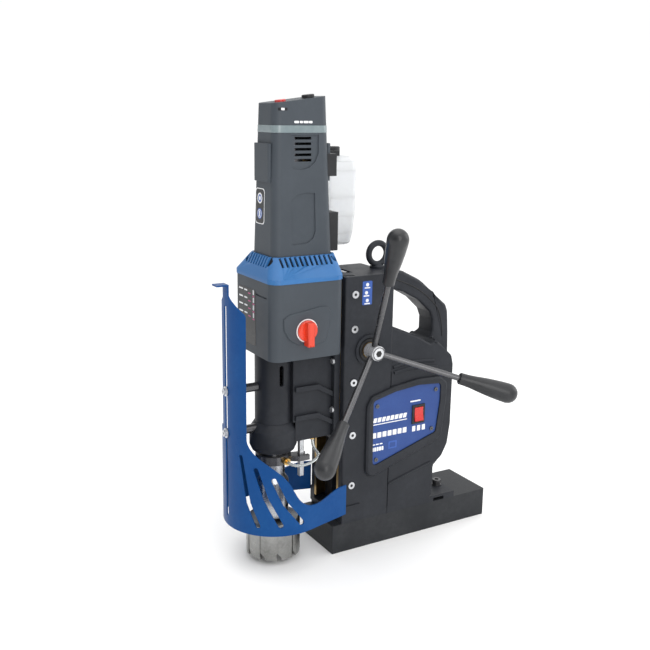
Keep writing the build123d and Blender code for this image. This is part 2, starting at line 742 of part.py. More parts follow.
def vent_cap():
    skirt_top = housing_top + cap_skirt
    low = (-housing_half - cap_margin, housing_half + cap_margin, housing_front - cap_margin,
           housing_back + cap_margin, housing_corner + cap_margin)
    high_half = motor_bottom_half + 3
    high = (-high_half, high_half, motor_bottom_front - 3, motor_bottom_back + 3, motor_corner + 3)
    body = tapered_block(low, low, housing_top, skirt_top) + tapered_block(low, high, skirt_top, cap_top)
    inner_low = (low[0] + cap_wall, low[1] - cap_wall, low[2] + cap_wall, low[3] - cap_wall,
                 low[4] - cap_wall)
    inner_high = (high[0] + cap_wall, high[1] - cap_wall, high[2] + cap_wall, high[3] - cap_wall,
                  high[4] - cap_wall)
    body -= tapered_block(inner_low, inner_low, housing_top - 1, skirt_top)
    body -= tapered_block(inner_low, inner_high, skirt_top, cap_top + 0.01)
    pitch = 7.0
    for side in (-1, 1):
        for index in range(-5, 6):
            y = motor_y - 3 + index * pitch
            body -= block(min(side * 34, side * 46), max(side * 34, side * 46), y - 1.7, y + 1.7,
                          cap_top - 13, cap_top + 1)
        for index in range(-4, 5):
            x = index * pitch
            y = motor_bottom_front if side < 0 else motor_bottom_back
            body -= block(x - 1.7, x + 1.7, y - 9 if side < 0 else y - 3, y + 3 if side < 0 else y + 9,
                          cap_top - 13, cap_top + 1)
    tabs = []
    for x, y in cap_screw_places():
        pad = rod_along_z(5.2, x, y, housing_top, housing_top + 11) & \
            (tapered_block(low, low, housing_top, skirt_top) + tapered_block(low, high, skirt_top, cap_top))
        body += pad
        body -= rod_along_z(4.0, x, y, housing_top + 5, cap_top)
        body -= rod_along_z(2.0, x, y, housing_top - 1, cap_top)
        tabs.append(Pos(x, y, housing_top + 5) * cap_screw(1.9, 17.0, 3.6, 3.0, 2.5))
    save("vent_cap", body)
    save("cap_screws", *tabs)


# ---- motor ----
def vent_outline():
    return [(-196, vent_top), (-155, vent_top), (-155.5, 549), (-160, 539), (-169, 531.5), (-180, 529),
            (-192, 530.5), (-194, 536)]


def flank_outline():
    return [(-195, 492), (-186, 498.5), (-174, flank_top), (-161, flank_top - 1), (-160.5, 452),
            (-164, 443), (-172, 437.5), (-195, 436)]


def side_recess(outline, side, top):
    # a shallow pocket in the casing's side, at one depth below the tapering face
    low = min(z for _, z in outline)
    outer = motor_section(low, -1.0)[1]
    inner_low = motor_section(low, recess_depth)[1]
    inner_high = motor_section(top, recess_depth)[1]
    lean = (inner_low - inner_high) / (top - low)
    pocket = side_plate(outline, min(side * (inner_high - 1), side * outer),
                        max(side * (inner_high - 1), side * outer))
    wedge = front_plate([(side * (inner_high - 3), low - 2), (side * (inner_low + 2 * lean), low - 2),
                         (side * (inner_high - 2 * lean), top + 2), (side * (inner_high - 3), top + 2)],
                        motor_bottom_front, motor_bottom_back)
    return pocket - wedge


def motor_casing():
    body = motor_block(motor_base, band_bottom, 0)
    body -= motor_block(motor_base - 0.01, band_bottom + 0.01, motor_wall)
    for side in (-1, 1):
        body -= side_recess(vent_outline(), side, vent_top)
        body -= side_recess(flank_outline(), side, flank_top)
        for index in range(louvre_count):
            z = louvre_top - index * louvre_pitch
            body -= block(min(side * 20, side * 44), max(side * 20, side * 44), louvre_front, louvre_back,
                          z - louvre_height / 2, z + louvre_height / 2)
    for side, y0, y1 in ((-1, -224, -214), (1, -152, -140)):
        body -= block(-brush_cover_half + 8, brush_cover_half - 8, y0, y1, 522, 553)
    save("motor_casing", body)
    covers_made = []
    for side in (-1, 1):
        low = motor_section(499, 0)
        y = low[2] if side < 0 else low[3]
        plate = block(-brush_cover_half, brush_cover_half, min(y - side * 2, y + side * brush_cover_proud),
                      max(y - side * 2, y + side * brush_cover_proud), brush_cover_bottom, brush_cover_top)
        plate = chamfer(plate.edges().filter_by(Axis.Z), 1.2)
        covers_made.append(plate - motor_block(480, 570, 0.0))
    save("brush_covers", *covers_made)


def brush_gear():
    holders = []
    for side in (-1, 1):
        edge = motor_section(530, motor_wall)[2 if side < 0 else 3]
        near = motor_y + side * 12.6
        holder = block(-8, 8, min(near + side * 2, edge), max(near + side * 2, edge), 520, 540)
        holder -= block(-4, 4, min(near - side, edge - side * 2), max(near - side, edge - side * 2), 525, 535)
        brush = block(-3.8, 3.8, min(near, edge - side * 6), max(near, edge - side * 6), 525.2, 534.8)
        holders.extend([holder, brush])
    save("brush_holders", *holders)
    section = motor_section(512, motor_wall)
    stator = rounded_block(section[0] + 0.4, section[1] - 0.4, motor_y - 36, section[3] - 0.4, 440, 510, 10)
    stator -= rod_along_z(20.5, motor_x, motor_y, 439, 511)
    save("stator", stator)


def light_band():
    z0, z1 = band_bottom, band_top
    low = motor_section(z0, -band_proud)
    high = motor_section(z1, -band_proud)
    body = tapered_block(low, high, z0, z1) - motor_block(z0 - 0.01, z1 + 0.01, motor_wall)
    save("light_band", body)


def top_lid():
    body = motor_block(band_top, motor_top + 12, 0)
    front_z = motor_top - 1
    back_z = motor_top + 9
    slope = (back_z - front_z) / (motor_top_back - motor_top_front)
    cut = [(motor_top_front - 20, front_z - 20 * slope), (motor_top_back + 20, back_z + 20 * slope),
           (motor_top_back + 20, 700), (motor_top_front - 20, 700)]
    body -= side_plate(cut, -60, 60)
    inner = motor_block(band_top - 0.01, motor_top + 12, motor_wall)
    roof = [(y, z - 4.0) for y, z in cut[:2]] + cut[2:]
    inner -= side_plate(roof, -60, 60)
    body -= inner
    lean = degrees(atan2(back_z - front_z, motor_top_back - motor_top_front))
    button_y, dial_y = motor_top_front + 15, motor_top_back - 22

    def on_lid(shape, y):
        return Pos(0, y, front_z + (y - motor_top_front) * slope) * Rot(lean, 0, 0) * shape

    body -= on_lid(rod_along_z(7.4, 12, 0, -6, 2), button_y)
    body -= on_lid(rod_along_z(3.05, 12, 0, -6, 2), dial_y)
    save("top_lid", body)
    button = rod_along_z(7.0, 12, 0, -3.6, 2.6)
    button = fillet(button.faces().sort_by(Axis.Z)[-1].edges(), 0.9)
    save("power_button", on_lid(button, button_y))
    dial = rod_along_z(8.0, 12, 0, 0.4, 4.2)
    dial = chamfer(dial.faces().sort_by(Axis.Z)[-1].edges(), 0.8)
    dial += rod_along_z(3.0, 12, 0, -3.6, 0.5)
    dial -= block(11.4, 12.6, -7.0, -2.0, 3.6, 5)
    save("speed_dial", on_lid(dial, dial_y))


def armature():
    mesh_phase = 180 + 180 / armature_teeth
    shaft = rod_along_z(4.0, motor_x, motor_y, 366, 568)
    shaft += rod_along_z(20.0, motor_x, motor_y, 442, 508)
    shaft += rod_along_z(12.3, motor_x, motor_y, 518, 542)
    shaft += gear_along_z(armature_teeth, first_module, mesh_phase, motor_x, motor_y, 368, 384)
    fan = rod_along_z(25.0, motor_x, motor_y, 414, 416) + rod_along_z(7.0, motor_x, motor_y, 414, 426)
    for index in range(12):
        blade = Pos(motor_x, motor_y, 420) * Rot(0, 0, index * 30) * Pos(16, 0, 0) * Box(17, 1.6, 9)
        fan += blade
    fan -= rod_along_z(4.0, motor_x, motor_y, 410, 430)
    save("armature", shaft, fan)


def layshaft():
    to_spindle = degrees(atan2(lay_y - spindle_y, lay_x))
    small_phase = to_spindle + 180 + 180 / lay_small_teeth
    body = rod_along_z(5.0, lay_x, lay_y, gearbox_floor_top - 4.6, housing_top + 4.6)
    body += gear_along_z(lay_small_teeth, second_module, small_phase, lay_x, lay_y, 343, 359)
    body += gear_along_z(lay_large_teeth, first_module, 0, lay_x, lay_y, 370, 382)
    save("layshaft", body)


# ---- spindle housing and spindle ----
def spindle_housing():
    body = rod_along_z(tube_radius, 0, spindle_y, nose_shoulder, housing_bottom)
    body -= rod_along_z(tube_bore, 0, spindle_y, nose_shoulder - 1, housing_bottom + 1)
    slot = block(0, 60, spindle_y - drift_width / 2, spindle_y + drift_width / 2,
                 drift_bottom + 3, drift_top - 3)
    slot += rod_along_x(drift_width / 2, spindle_y, drift_bottom + 3, 0, 60)
    slot += rod_along_x(drift_width / 2, spindle_y, drift_top - 3, 0, 60)
    body -= slot
    save("spindle_housing", body)
    nose = rod_along_z(nose_radius, 0, spindle_y, nose_bottom + 7, nose_shoulder)
    nose += cone_along_z(nose_radius, tube_radius + 0.8, 0, spindle_y, nose_shoulder, nose_top)
    nose += cone_along_z(nose_radius - 3, nose_radius, 0, spindle_y, nose_bottom, nose_bottom + 7)
    nose -= rod_along_z(tube_radius, 0, spindle_y, nose_shoulder, nose_top + 1)
    nose -= rod_along_z(tube_bore, 0, spindle_y, nose_bottom + 8, nose_shoulder + 1)
    nose -= rod_along_z(nose_bore, 0, spindle_y, nose_bottom - 1, nose_bottom + 9)
    save("spindle_nose", nose)
    bearings = []
    seats = ((0, spindle_y, tube_bore, spindle_large, nose_bottom + 8, nose_bottom + 20),
             (0, spindle_y, tube_bore, spindle_small, gearbox_floor_top - 14, gearbox_floor_top),
             (motor_x, motor_y, 9.0, 4.0, housing_top, housing_top + 7))
    for x, y, outer, inner, z0, z1 in seats:
        ring = rod_along_z(outer, x, y, z0, z1) - rod_along_z(inner + running_gap, x, y, z0 - 1, z1 + 1)
        middle = (outer + inner) / 2
        trough = rod_along_z(middle + 1.2, x, y, z1 - 1.0, z1 + 1)
        trough -= rod_along_z(middle - 1.2, x, y, z0, z1 + 2)
        bearings.append(ring - trough)
    save("ball_bearings", *bearings)


def spindle():
    body = rod_along_z(spindle_large, 0, spindle_y, spindle_bottom, 284)
    body += rod_along_z(spindle_small, 0, spindle_y, 284, housing_top + 4.6)
    body += rod_along_z(spindle_flange, 0, spindle_y, spindle_bottom, nose_bottom - 0.6)
    to_lay = degrees(atan2(lay_y - spindle_y, lay_x))
    body += gear_along_z(spindle_teeth, second_module, to_lay, 0, spindle_y, 345, 357)
    body -= cone_along_z(taper_big, taper_small, 0, spindle_y, spindle_bottom, spindle_bottom + taper_length)
    body -= rod_along_z(taper_small, 0, spindle_y, spindle_bottom + taper_length - 1, 262)
    body -= block(-30, 30, spindle_y - drift_width / 2, spindle_y + drift_width / 2, drift_bottom, drift_top)
    save("spindle", body)

    shrink = 0.03
    arbor = rod_along_z(arbor_radius, 0, spindle_y, 118, spindle_bottom)
    arbor += cone_along_z(arbor_large, arbor_radius, 0, spindle_y, 112, 120)
    arbor += rod_along_z(arbor_large, 0, spindle_y, arbor_bottom, 112)
    arbor += cone_along_z(taper_big - shrink, taper_small - shrink, 0, spindle_y, spindle_bottom,
                          spindle_bottom + taper_length)
    arbor -= rod_along_z(shank_radius, 0, spindle_y, arbor_bottom - 1, shank_top + 0.5)
    arbor -= rod_along_z(6.0, 0, spindle_y, shank_top, 140)
    arbor -= rod_along_x(2.0, spindle_y, coolant_ring_bottom + 6.5, 0, 30)
    screws = []
    for turn in (0, 90):
        hole = Pos(0, spindle_y, 0) * Rot(0, 0, turn) * rod_along_x(4.0, 0, screw_z, 8, 30)
        arbor -= hole
        screw = rod_along_x(4.0, 0, screw_z, shank_radius, arbor_large - 1.0)
        screw -= Pos(arbor_large - 4, 0, screw_z) * Rot(0, 90, 0) * hexagon_prism(4.0, 0, 5)
        screws.append(Pos(0, spindle_y, 0) * Rot(0, 0, turn) * screw)
    save("arbor", arbor)
    save("arbor_screws", *screws)


def cutter():
    body = rod_along_z(cutter_radius, 0, spindle_y, cutter_bottom, cutter_top)
    body = chamfer(body.faces().sort_by(Axis.Z)[-1].edges(), 3.0)
    body -= rod_along_z(cutter_radius - cutter_wall, 0, spindle_y, cutter_bottom - 1, cutter_top - 9)
    body += rod_along_z(shank_radius, 0, spindle_y, cutter_top - 5, shank_top)
    body -= rod_along_z(pilot_radius + 0.1, 0, spindle_y, 0, shank_top + 1)
    for index in range(cutter_teeth):
        turn = 18 + index * 360 / cutter_teeth
        outline = make_face(Plane.YZ.offset(cutter_radius - cutter_wall - 2)
                            * Polyline((0, cutter_bottom - 1), (7, cutter_bottom - 1),
                                       (4.5, cutter_bottom + 5), (1.0, cutter_bottom + 9),
                                       (-1.4, cutter_bottom + 8), close=True))
        gullet = extrude(outline, amount=cutter_wall + 4)
        body -= Pos(0, spindle_y, 0) * Rot(0, 0, turn) * gullet
        flute = Pos(0, spindle_y, 0) * Rot(0, 0, turn) * Pos(cutter_radius, 0, 0) * \
            block(-1.2, 1, -1.3, 1.1, cutter_bottom + 5, cutter_top - 8)
        body -= flute
    for turn in (0, 90):
        flat = block(shank_radius - 0.8, shank_radius + 2, -4.2, 4.2, screw_z - 5, screw_z + 5)
        body -= Pos(0, spindle_y, 0) * Rot(0, 0, turn) * flat
    save("hole_cutter", body)
    pin = rod_along_z(pilot_radius, 0, spindle_y, pilot_tip + 2, shank_top + 8)
    pin += cone_along_z(1.6, pilot_radius, 0, spindle_y, pilot_tip, pilot_tip + 2)
    pin += rod_along_z(5.6, 0, spindle_y, shank_top + 0.3, shank_top + 3.3)
    save("pilot_pin", pin)


# ---- coolant: ring, stop rod, hose, bottle ----
def coolant():
    gap = 0.05
    ring = rod_along_z(coolant_ring_radius, 0, spindle_y, coolant_ring_bottom, coolant_ring_top)
    ring = chamfer(ring.edges().filter_by(GeomType.CIRCLE), 1.0)
    arm = plan_plate([(6, spindle_y + 14), (16, spindle_y + 6), (rod_x + 9, rod_y - 6),
                      (rod_x + 9, rod_y + 9), (rod_x - 8, rod_y + 9)],
                     coolant_ring_bottom + 3, coolant_ring_top - 3)
    ring += arm
    ring -= rod_along_z(arbor_radius + gap, 0, spindle_y, coolant_ring_bottom - 1, coolant_ring_top + 1)
    half = rod_side / 2 + 0.3
    ring -= block(rod_x - half, rod_x + half, rod_y - half, rod_y + 20, 100, 200)
    ring -= rod_along_x(3.0, fitting_y, fitting_z, 15, 40)
    save("coolant_ring", ring)
    bar = block(rod_x - rod_side / 2, rod_x + rod_side / 2, rod_y - rod_side / 2, rod_y + rod_side / 2,
                rod_bottom, bracket_bottom)
    save("stop_rod", chamfer(bar.edges().filter_by(Axis.Z), 0.8))
    nut_x = coolant_ring_radius
    elbow = rod_along_x(3.0, fitting_y, fitting_z, nut_x - 6, nut_x + 1)
    elbow += Pos(nut_x + 0.2, fitting_y, fitting_z) * Rot(0, 90, 0) * hexagon_prism(9, 0, 6)
    elbow += rod_along_x(2.9, fitting_y, fitting_z, nut_x + 5, hose_start.X)
    upper = rod_along_z(2.9, hose_end.X, hose_end.Y, hose_end.Z, bracket_bottom + 4)
    upper += Pos(hose_end.X, hose_end.Y, 0) * hexagon_prism(8, bracket_bottom - 4, bracket_bottom)
    save("hose_fittings", elbow, upper)
    save_hose()


def save_hose():
    points = [Vector(*point) for point in hose_route]
    radii = []
    for before, corner, after in zip(points, points[1:], points[2:]):
        run_in = corner - before
        run_out = after - corner
        turn = radians(run_in.get_angle(run_out))
        radii.append(0.45 * min(run_in.length, run_out.length) / tan(turn / 2))
    path = FilletPolyline(*points, radius=radii)
    section = Plane(origin=points[0], z_dir=points[1] - points[0]) * Circle(hose_radius)
    hose = sweep(section, path=path)
    save("coolant_hose", hose)


def bottle():
    low = (bottle_left + 8, bottle_right - 5, bottle_front + 4, bottle_back - 12, 8)
    high = (bottle_left, bottle_right, bottle_front, bottle_back, 12)
    body = tapered_block(low, high, bottle_bottom, bottle_bottom + 40)
    body += tapered_block(high, high, bottle_bottom + 40, bottle_top - 20)
    roof = (bottle_left + 3, bottle_right - 3, bottle_front + 1, bottle_back - 9, 9)
    body += tapered_block(high, roof, bottle_top - 20, bottle_top)
    save("coolant_bottle", body)
    neck_x = (bottle_left + bottle_right) / 2
    neck_y = (bottle_front + bottle_back) / 2 - 5
    neck = rod_along_z(12.0, neck_x, neck_y, bottle_top, bottle_top + 12)
    save("bottle_cap", chamfer(neck.faces().sort_by(Axis.Z)[-1].edges(), 1.0))
    straps = []
    for z0, z1 in ((424.0, 474.0), (520.0, bottle_top + 7)):
        back = motor_section(z0, 0)[3]
        strap = block(bottle_right - 12, 24, back - 6, back + strap_thickness, z0, z1)
        strap += block(bottle_right - 12, bottle_right - 0.5, back, bottle_front + 6, z0, z1)
        strap = strap - motor_block(motor_base, band_bottom, 0) - body
        strap -= block(-brush_cover_half - 0.3, brush_cover_half + 0.3, back - 9,
                       motor_section(499, 0)[3] + brush_cover_proud + 0.1, brush_cover_bottom - 1,
                       brush_cover_top + 1)
        straps.append(strap)
    hook = block(bottle_right - 12, bottle_right - 0.5, bottle_front - 1, bottle_front + 22,
                 bottle_top, bottle_top + 7)
    straps[1] += hook
    save("bottle_clips", *straps)


# ---- guard ----
def guard():
    centre = (0, guard_centre_y)
    ring = Pos(*centre) * (Circle(guard_radius) - Circle(guard_radius - guard_sheet))
    turn = radians(guard_wrap)
    edge_x = guard_radius * sin(turn)
    edge_y = guard_centre_y - guard_radius * cos(turn)
    wide_x = edge_x * 1.2
    wide_y = guard_centre_y + (edge_y - guard_centre_y) * 1.2
    ring -= make_face(Polyline((0, guard_centre_y), (wide_x, wide_y), (150, 0), (-150, 0),
                               (-wide_x, wide_y), close=True))
    lean = pi - turn
    wings = []
    length = (guard_back - edge_y) / sin(turn)
    for side in (-1, 1):
        way = (side * cos(turn), sin(turn))
        inward = (-side * sin(turn), cos(turn))
        start = (side * edge_x, edge_y)
        end = (start[0] + way[0] * length, start[1] + way[1] * length)
        corners = [start, end, (end[0] + inward[0] * guard_sheet, end[1] + inward[1] * guard_sheet),
                   (start[0] + inward[0] * guard_sheet, start[1] + inward[1] * guard_sheet)]
        wings.append(make_face(Polyline(*corners, close=True)))
    plan = ring + wings[0] + wings[1]
    sheet = extrude(Pos(0, 0, guard_bottom) * plan, amount=guard_top + 22 - guard_bottom)
    curve = Spline((guard_right_y, 190), (-257, 175), (-238, 156), (-216, 133), (-200, 106), (-184, 95),
                   (-165, 94), (-145, 100), (guard_back - 4, 103))
    corner = [(guard_back - 4, 103), (guard_back + 9, 103), (guard_back + 9, guard_top + 30),
              (guard_right_y, guard_top + 30), (guard_right_y, 190)]
    waste = extrude(make_face(Plane.YZ.offset(-90) * (curve + Polyline(*corner))), amount=180)
    sheet -= waste
    sheet -= block(-90, guard_left, -300, -100, 190, 400)
    shoulder = [(7, 400), (7, guard_top + 8), (11, guard_top + 4), (46, 346), (60, 346), (60, 400)]
    sheet -= front_plate(shoulder, -290, -230)
    sheet -= front_plate([(guard_left - 1, 400), (guard_left - 1, guard_top - 2),
                          (-8, guard_top + 4), (-8, 400)],
                         -290, -230)
    slot = block(-slot_width / 2, slot_width / 2, -290, -250, slot_bottom + slot_width / 2,
                 slot_top - slot_width / 2)
    for z in (slot_bottom + slot_width / 2, slot_top - slot_width / 2):
        slot += rod_along_y(slot_width / 2, 0, z, -290, -250)
    sheet -= slot
    for path in ([(24.5, 165), (34, 104), (45, 74)], [(43, 151), (54, 112), (70, 75)],
                 [(62.5, 138), (75, 105), (94, 75)]):
        sheet -= vent_tool(path)
    front_y = guard_centre_y - guard_radius
    tab = block(-8, 7, front_y - 14, front_y + 1.5, guard_top + 20, guard_top + 22)
    sheet += tab
    save("guard", sheet)


def vent_tool(path):
    # a slot cut square to the sheet at each step along a slanted line
    tool = None
    for (turn_a, z_a), (turn_b, z_b) in zip(path, path[1:]):
        steps = 5
        for step in range(steps + 1):
            share = step / steps
            turn = turn_a + (turn_b - turn_a) * share
            z = z_a + (z_b - z_a) * share
            slope = degrees(atan2(radians(turn_b - turn_a) * guard_radius, z_b - z_a))
            length = sqrt((radians(turn_b - turn_a) * guard_radius) ** 2 + (z_b - z_a) ** 2) / steps
            piece = Pos(0, guard_centre_y, z) * Rot(0, 0, turn) * Pos(0, -guard_radius, 0) * \
                Rot(0, slope, 0) * Rot(90, 0, 0) * Cylinder(3.4, 12)
            tool = piece if tool is None else tool + piece
            if step < steps:
                turn_mid = turn + (turn_b - turn_a) / steps / 2
                z_mid = z + (z_b - z_a) / steps / 2
                bar = Pos(0, guard_centre_y, z_mid) * Rot(0, 0, turn_mid) * Pos(0, -guard_radius, 0) * \
                    Rot(0, slope, 0) * Box(6.8, 12, length)
                tool += bar
    return tool


def guard_posts():
    inner = guard_centre_y - guard_radius + guard_sheet + guard_gap
    outer = guard_centre_y - guard_radius - guard_gap
    posts = []
    screws = []
    for z in post_heights:
        post = rod_along_y(post_radius, 0, z, inner, spindle_y - tube_radius + 6)
        post -= rod_along_z(tube_radius, 0, spindle_y, z - 20, z + 20)
        post -= rod_along_z(nose_radius, 0, spindle_y, nose_bottom, nose_shoulder)
        post -= cone_along_z(nose_radius, tube_radius + 0.8, 0, spindle_y, nose_shoulder, nose_top)
        post -= rod_along_y(2.5, 0, z, inner - 1, inner + 16)
        posts.append(post)
        washer = rod_along_y(6.5, 0, z, outer - 1.2, outer) - rod_along_y(2.5, 0, z, outer - 3, outer + 3)
        screw = along_y(cap_screw(2.5, 14.0, 4.4, 3.0, 3.0), 0, outer - 1.2, z, -1)
        screws.extend([washer, screw])
    save("guard_posts", *posts)
    save("guard_screws", *screws)


def selector():
    face = housing_half + selector_plate
    knob = rod_along_x(selector_radius, selector_y, selector_z, face + 0.4, face + 4.5)
    knob = chamfer(knob.faces().sort_by(Axis.X)[-1].edges(), 1.2)
    bar = side_plate([(selector_y - 5.0, selector_z + 12), (selector_y + 5.0, selector_z + 12),
                      (selector_y + 5.0, selector_z - 19), (selector_y - 4.0, selector_z - 19)],
                     face + 0.4, face + 13)
    bar = chamfer(bar.faces().sort_by(Axis.X)[-1].edges(), 1.6)
    knob += bar
    knob += rod_along_x(4.0, selector_y, selector_z, housing_half - 5, face + 1)
    save("gear_selector", knob)


magnet()
column()
gibs()
bushes_and_shaft()
levers()
rear_housing()
covers()
switch()
foot_fasteners()
carriage_slide()
carriage_bracket()
gearbox_housing()
bearing_plate()
vent_cap()
motor_casing()
brush_gear()
light_band()
top_lid()
armature()
layshaft()
spindle_housing()
spindle()
cutter()
coolant()
bottle()
guard()
guard_posts()
selector()
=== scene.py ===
import bpy
import bmesh
import json
from math import cos, pi, radians, sin
from mathutils import Matrix, Vector
from mathutils.bvhtree import BVHTree


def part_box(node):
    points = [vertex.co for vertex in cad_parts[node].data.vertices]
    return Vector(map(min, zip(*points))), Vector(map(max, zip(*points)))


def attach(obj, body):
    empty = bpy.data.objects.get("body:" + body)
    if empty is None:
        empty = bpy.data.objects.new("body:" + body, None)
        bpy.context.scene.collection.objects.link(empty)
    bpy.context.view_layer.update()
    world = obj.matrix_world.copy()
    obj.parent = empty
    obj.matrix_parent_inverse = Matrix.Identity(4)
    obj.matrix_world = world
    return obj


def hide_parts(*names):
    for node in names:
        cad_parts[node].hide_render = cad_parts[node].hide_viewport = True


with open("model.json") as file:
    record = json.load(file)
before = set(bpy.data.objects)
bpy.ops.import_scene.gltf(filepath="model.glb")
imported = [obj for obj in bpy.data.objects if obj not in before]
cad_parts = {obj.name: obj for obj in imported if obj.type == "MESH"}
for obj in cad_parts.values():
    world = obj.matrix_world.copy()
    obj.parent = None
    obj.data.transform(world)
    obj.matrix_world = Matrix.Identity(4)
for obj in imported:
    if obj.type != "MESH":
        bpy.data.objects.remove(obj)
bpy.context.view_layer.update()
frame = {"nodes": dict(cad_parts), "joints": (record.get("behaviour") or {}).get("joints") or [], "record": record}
nodes = frame["nodes"]
bodyOf = {node: body for body, group in frame["record"]["behaviour"]["bodies"].items() for node in group}
slotOf = {part["node"]: part["material_slot"] for part in frame["record"]["subparts"]}
finishes = {}
print("frame loaded:", len(nodes), "nodes")


# camera, light and floor
camera = {"azimuth": 59.61, "elevation": 13.678, "roll": 0.821, "distance": 1.26975, "lens": 49.06,
          "sensor": 36, "clip": (0.01, 100), "target": (-0.0591, -0.0917, 0.3022)}
lights = {
    "keyPanel": {"place": (2.0, -0.6, 1.2), "size": (0.9, 1.7), "power": 15, "colour": (1.0, 0.99, 0.98)},
    "frontPanel": {"place": (-0.9, -2.2, 0.7), "size": (0.5, 1.3), "power": 1.5, "colour": (0.94, 0.97, 1.0)},
    "backPanel": {"place": (0.6, 2.0, 1.2), "size": (1.2, 1.2), "power": 8, "colour": (1.0, 1.0, 1.0)},
    "topPanel": {"place": (0.0, -0.2, 2.3), "size": (1.6, 1.6), "power": 9, "colour": (1.0, 1.0, 1.0)},
}
studio = {"sky": 1.01, "frontShare": 0.30, "frontReach": -0.75, "topExtra": 0.45, "topRange": (0.35, 0.8),
          "aim": (0, -0.1, 0.3), "floorColour": (0.95, 0.95, 0.95), "floorRough": 0.85, "floorRadius": 60.0}


def makeCamera():
    turn, rise, roll = (radians(camera[k]) for k in ("azimuth", "elevation", "roll"))
    back = Vector((sin(turn) * cos(rise), -cos(turn) * cos(rise), sin(rise)))
    right = Vector((cos(turn), sin(turn), 0))
    up = back.cross(right)
    rolledRight = right * cos(roll) + up * sin(roll)
    rolledUp = up * cos(roll) - right * sin(roll)
    lens = bpy.data.cameras.new("studioCamera")
    lens.lens = camera["lens"]
    lens.sensor_width = camera["sensor"]
    lens.clip_start, lens.clip_end = camera["clip"]
    item = bpy.data.objects.new("studioCamera", lens)
    bpy.context.scene.collection.objects.link(item)
    spot = Vector(camera["target"]) + back * camera["distance"]
    turned = Matrix((rolledRight, rolledUp, back)).transposed().to_4x4()
    item.matrix_world = Matrix.Translation(spot) @ turned
    bpy.context.scene.camera = item


def makeLights():
    for name, look in lights.items():
        lamp = bpy.data.lights.new(name, "AREA")
        lamp.shape = "RECTANGLE"
        lamp.size, lamp.size_y = look["size"]
        lamp.energy = look["power"]
        lamp.color = look["colour"]
        item = bpy.data.objects.new(name, lamp)
        bpy.context.scene.collection.objects.link(item)
        item.location = look["place"]
        away = Vector(look["place"]) - Vector(studio["aim"])
        item.rotation_euler = away.to_track_quat("Z", "Y").to_euler()
    world = bpy.data.worlds.new("studioSky")
    bpy.context.scene.world = world
    world.use_nodes = True
    tree = world.node_tree
    way = tree.nodes.new("ShaderNodeSeparateXYZ")
    tree.links.new(tree.nodes.new("ShaderNodeTexCoord").outputs["Generated"], way.inputs[0])
    front = spreadNode(tree, way.outputs["Y"], studio["frontReach"], 0.0, studio["frontShare"], 1.0)
    top = spreadNode(tree, way.outputs["Z"], *studio["topRange"], 0.0, studio["topExtra"])
    shade = mathNode(tree, "MULTIPLY", front, studio["sky"])
    tree.nodes["Background"].inputs["Color"].default_value = (1, 1, 1, 1)
    shown = tree.nodes.new("ShaderNodeMix")  # plain white behind the machine, shaded sky for the light
    tree.links.new(tree.nodes.new("ShaderNodeLightPath").outputs["Is Camera Ray"], shown.inputs["Factor"])
    tree.links.new(mathNode(tree, "ADD", shade, top), shown.inputs["A"])
    shown.inputs["B"].default_value = studio["sky"]
    tree.links.new(shown.outputs["Result"], tree.nodes["Background"].inputs["Strength"])
    bpy.context.scene.view_settings.view_transform = "Standard"


def makeFloor():
    bm = bmesh.new()
    bmesh.ops.create_circle(bm, cap_ends=True, segments=96, radius=studio["floorRadius"])
    mesh = bpy.data.meshes.new("studioFloor")
    bm.to_mesh(mesh)
    bm.free()
    floor = bpy.data.objects.new("studioFloor", mesh)
    bpy.context.scene.collection.objects.link(floor)
    finish = bpy.data.materials.new("floorPaper")
    finish.use_nodes = True
    shader = finish.node_tree.nodes["Principled BSDF"]
    shader.inputs["Base Color"].default_value = (*studio["floorColour"], 1)
    shader.inputs["Roughness"].default_value = studio["floorRough"]
    mesh.materials.append(finish)


# shared shader effects
def newGroup(name, inputs, outputs):
    group = bpy.data.node_groups.new(name, "ShaderNodeTree")
    for label, kind, value in inputs:
        socket = group.interface.new_socket(label, in_out="INPUT", socket_type=kind)
        if value is not None:
            socket.default_value = value
    for label, kind in outputs:
        group.interface.new_socket(label, in_out="OUTPUT", socket_type=kind)
    return group, group.nodes.new("NodeGroupInput"), group.nodes.new("NodeGroupOutput")


def mathNode(tree, action, first, second=None, clamp=False):
    node = tree.nodes.new("ShaderNodeMath")
    node.operation = action
    node.use_clamp = clamp
    for slot, value in ((0, first), (1, second)):
        if value is None:
            continue
        if isinstance(value, (int, float)):
            node.inputs[slot].default_value = value
        else:
            tree.links.new(value, node.inputs[slot])
    return node.outputs[0]


def noiseNode(tree, vector, scale, detail=3.0, rough=0.55):
    node = tree.nodes.new("ShaderNodeTexNoise")
    node.inputs["Detail"].default_value = detail
    node.inputs["Roughness"].default_value = rough
    tree.links.new(vector, node.inputs["Vector"])
    if isinstance(scale, (int, float)):
        node.inputs["Scale"].default_value = scale
    else:
        tree.links.new(scale, node.inputs["Scale"])
    return node.outputs["Fac"]


def spreadNode(tree, value, low, high, toLow, toHigh):
    node = tree.nodes.new("ShaderNodeMapRange")
    for slot, item in ((0, value), (1, low), (2, high), (3, toLow), (4, toHigh)):
        if isinstance(item, (int, float)):
            node.inputs[slot].default_value = item
        else:
            tree.links.new(item, node.inputs[slot])
    return node.outputs[0]


makeCamera()
makeLights()
makeFloor()
print("studio ready")


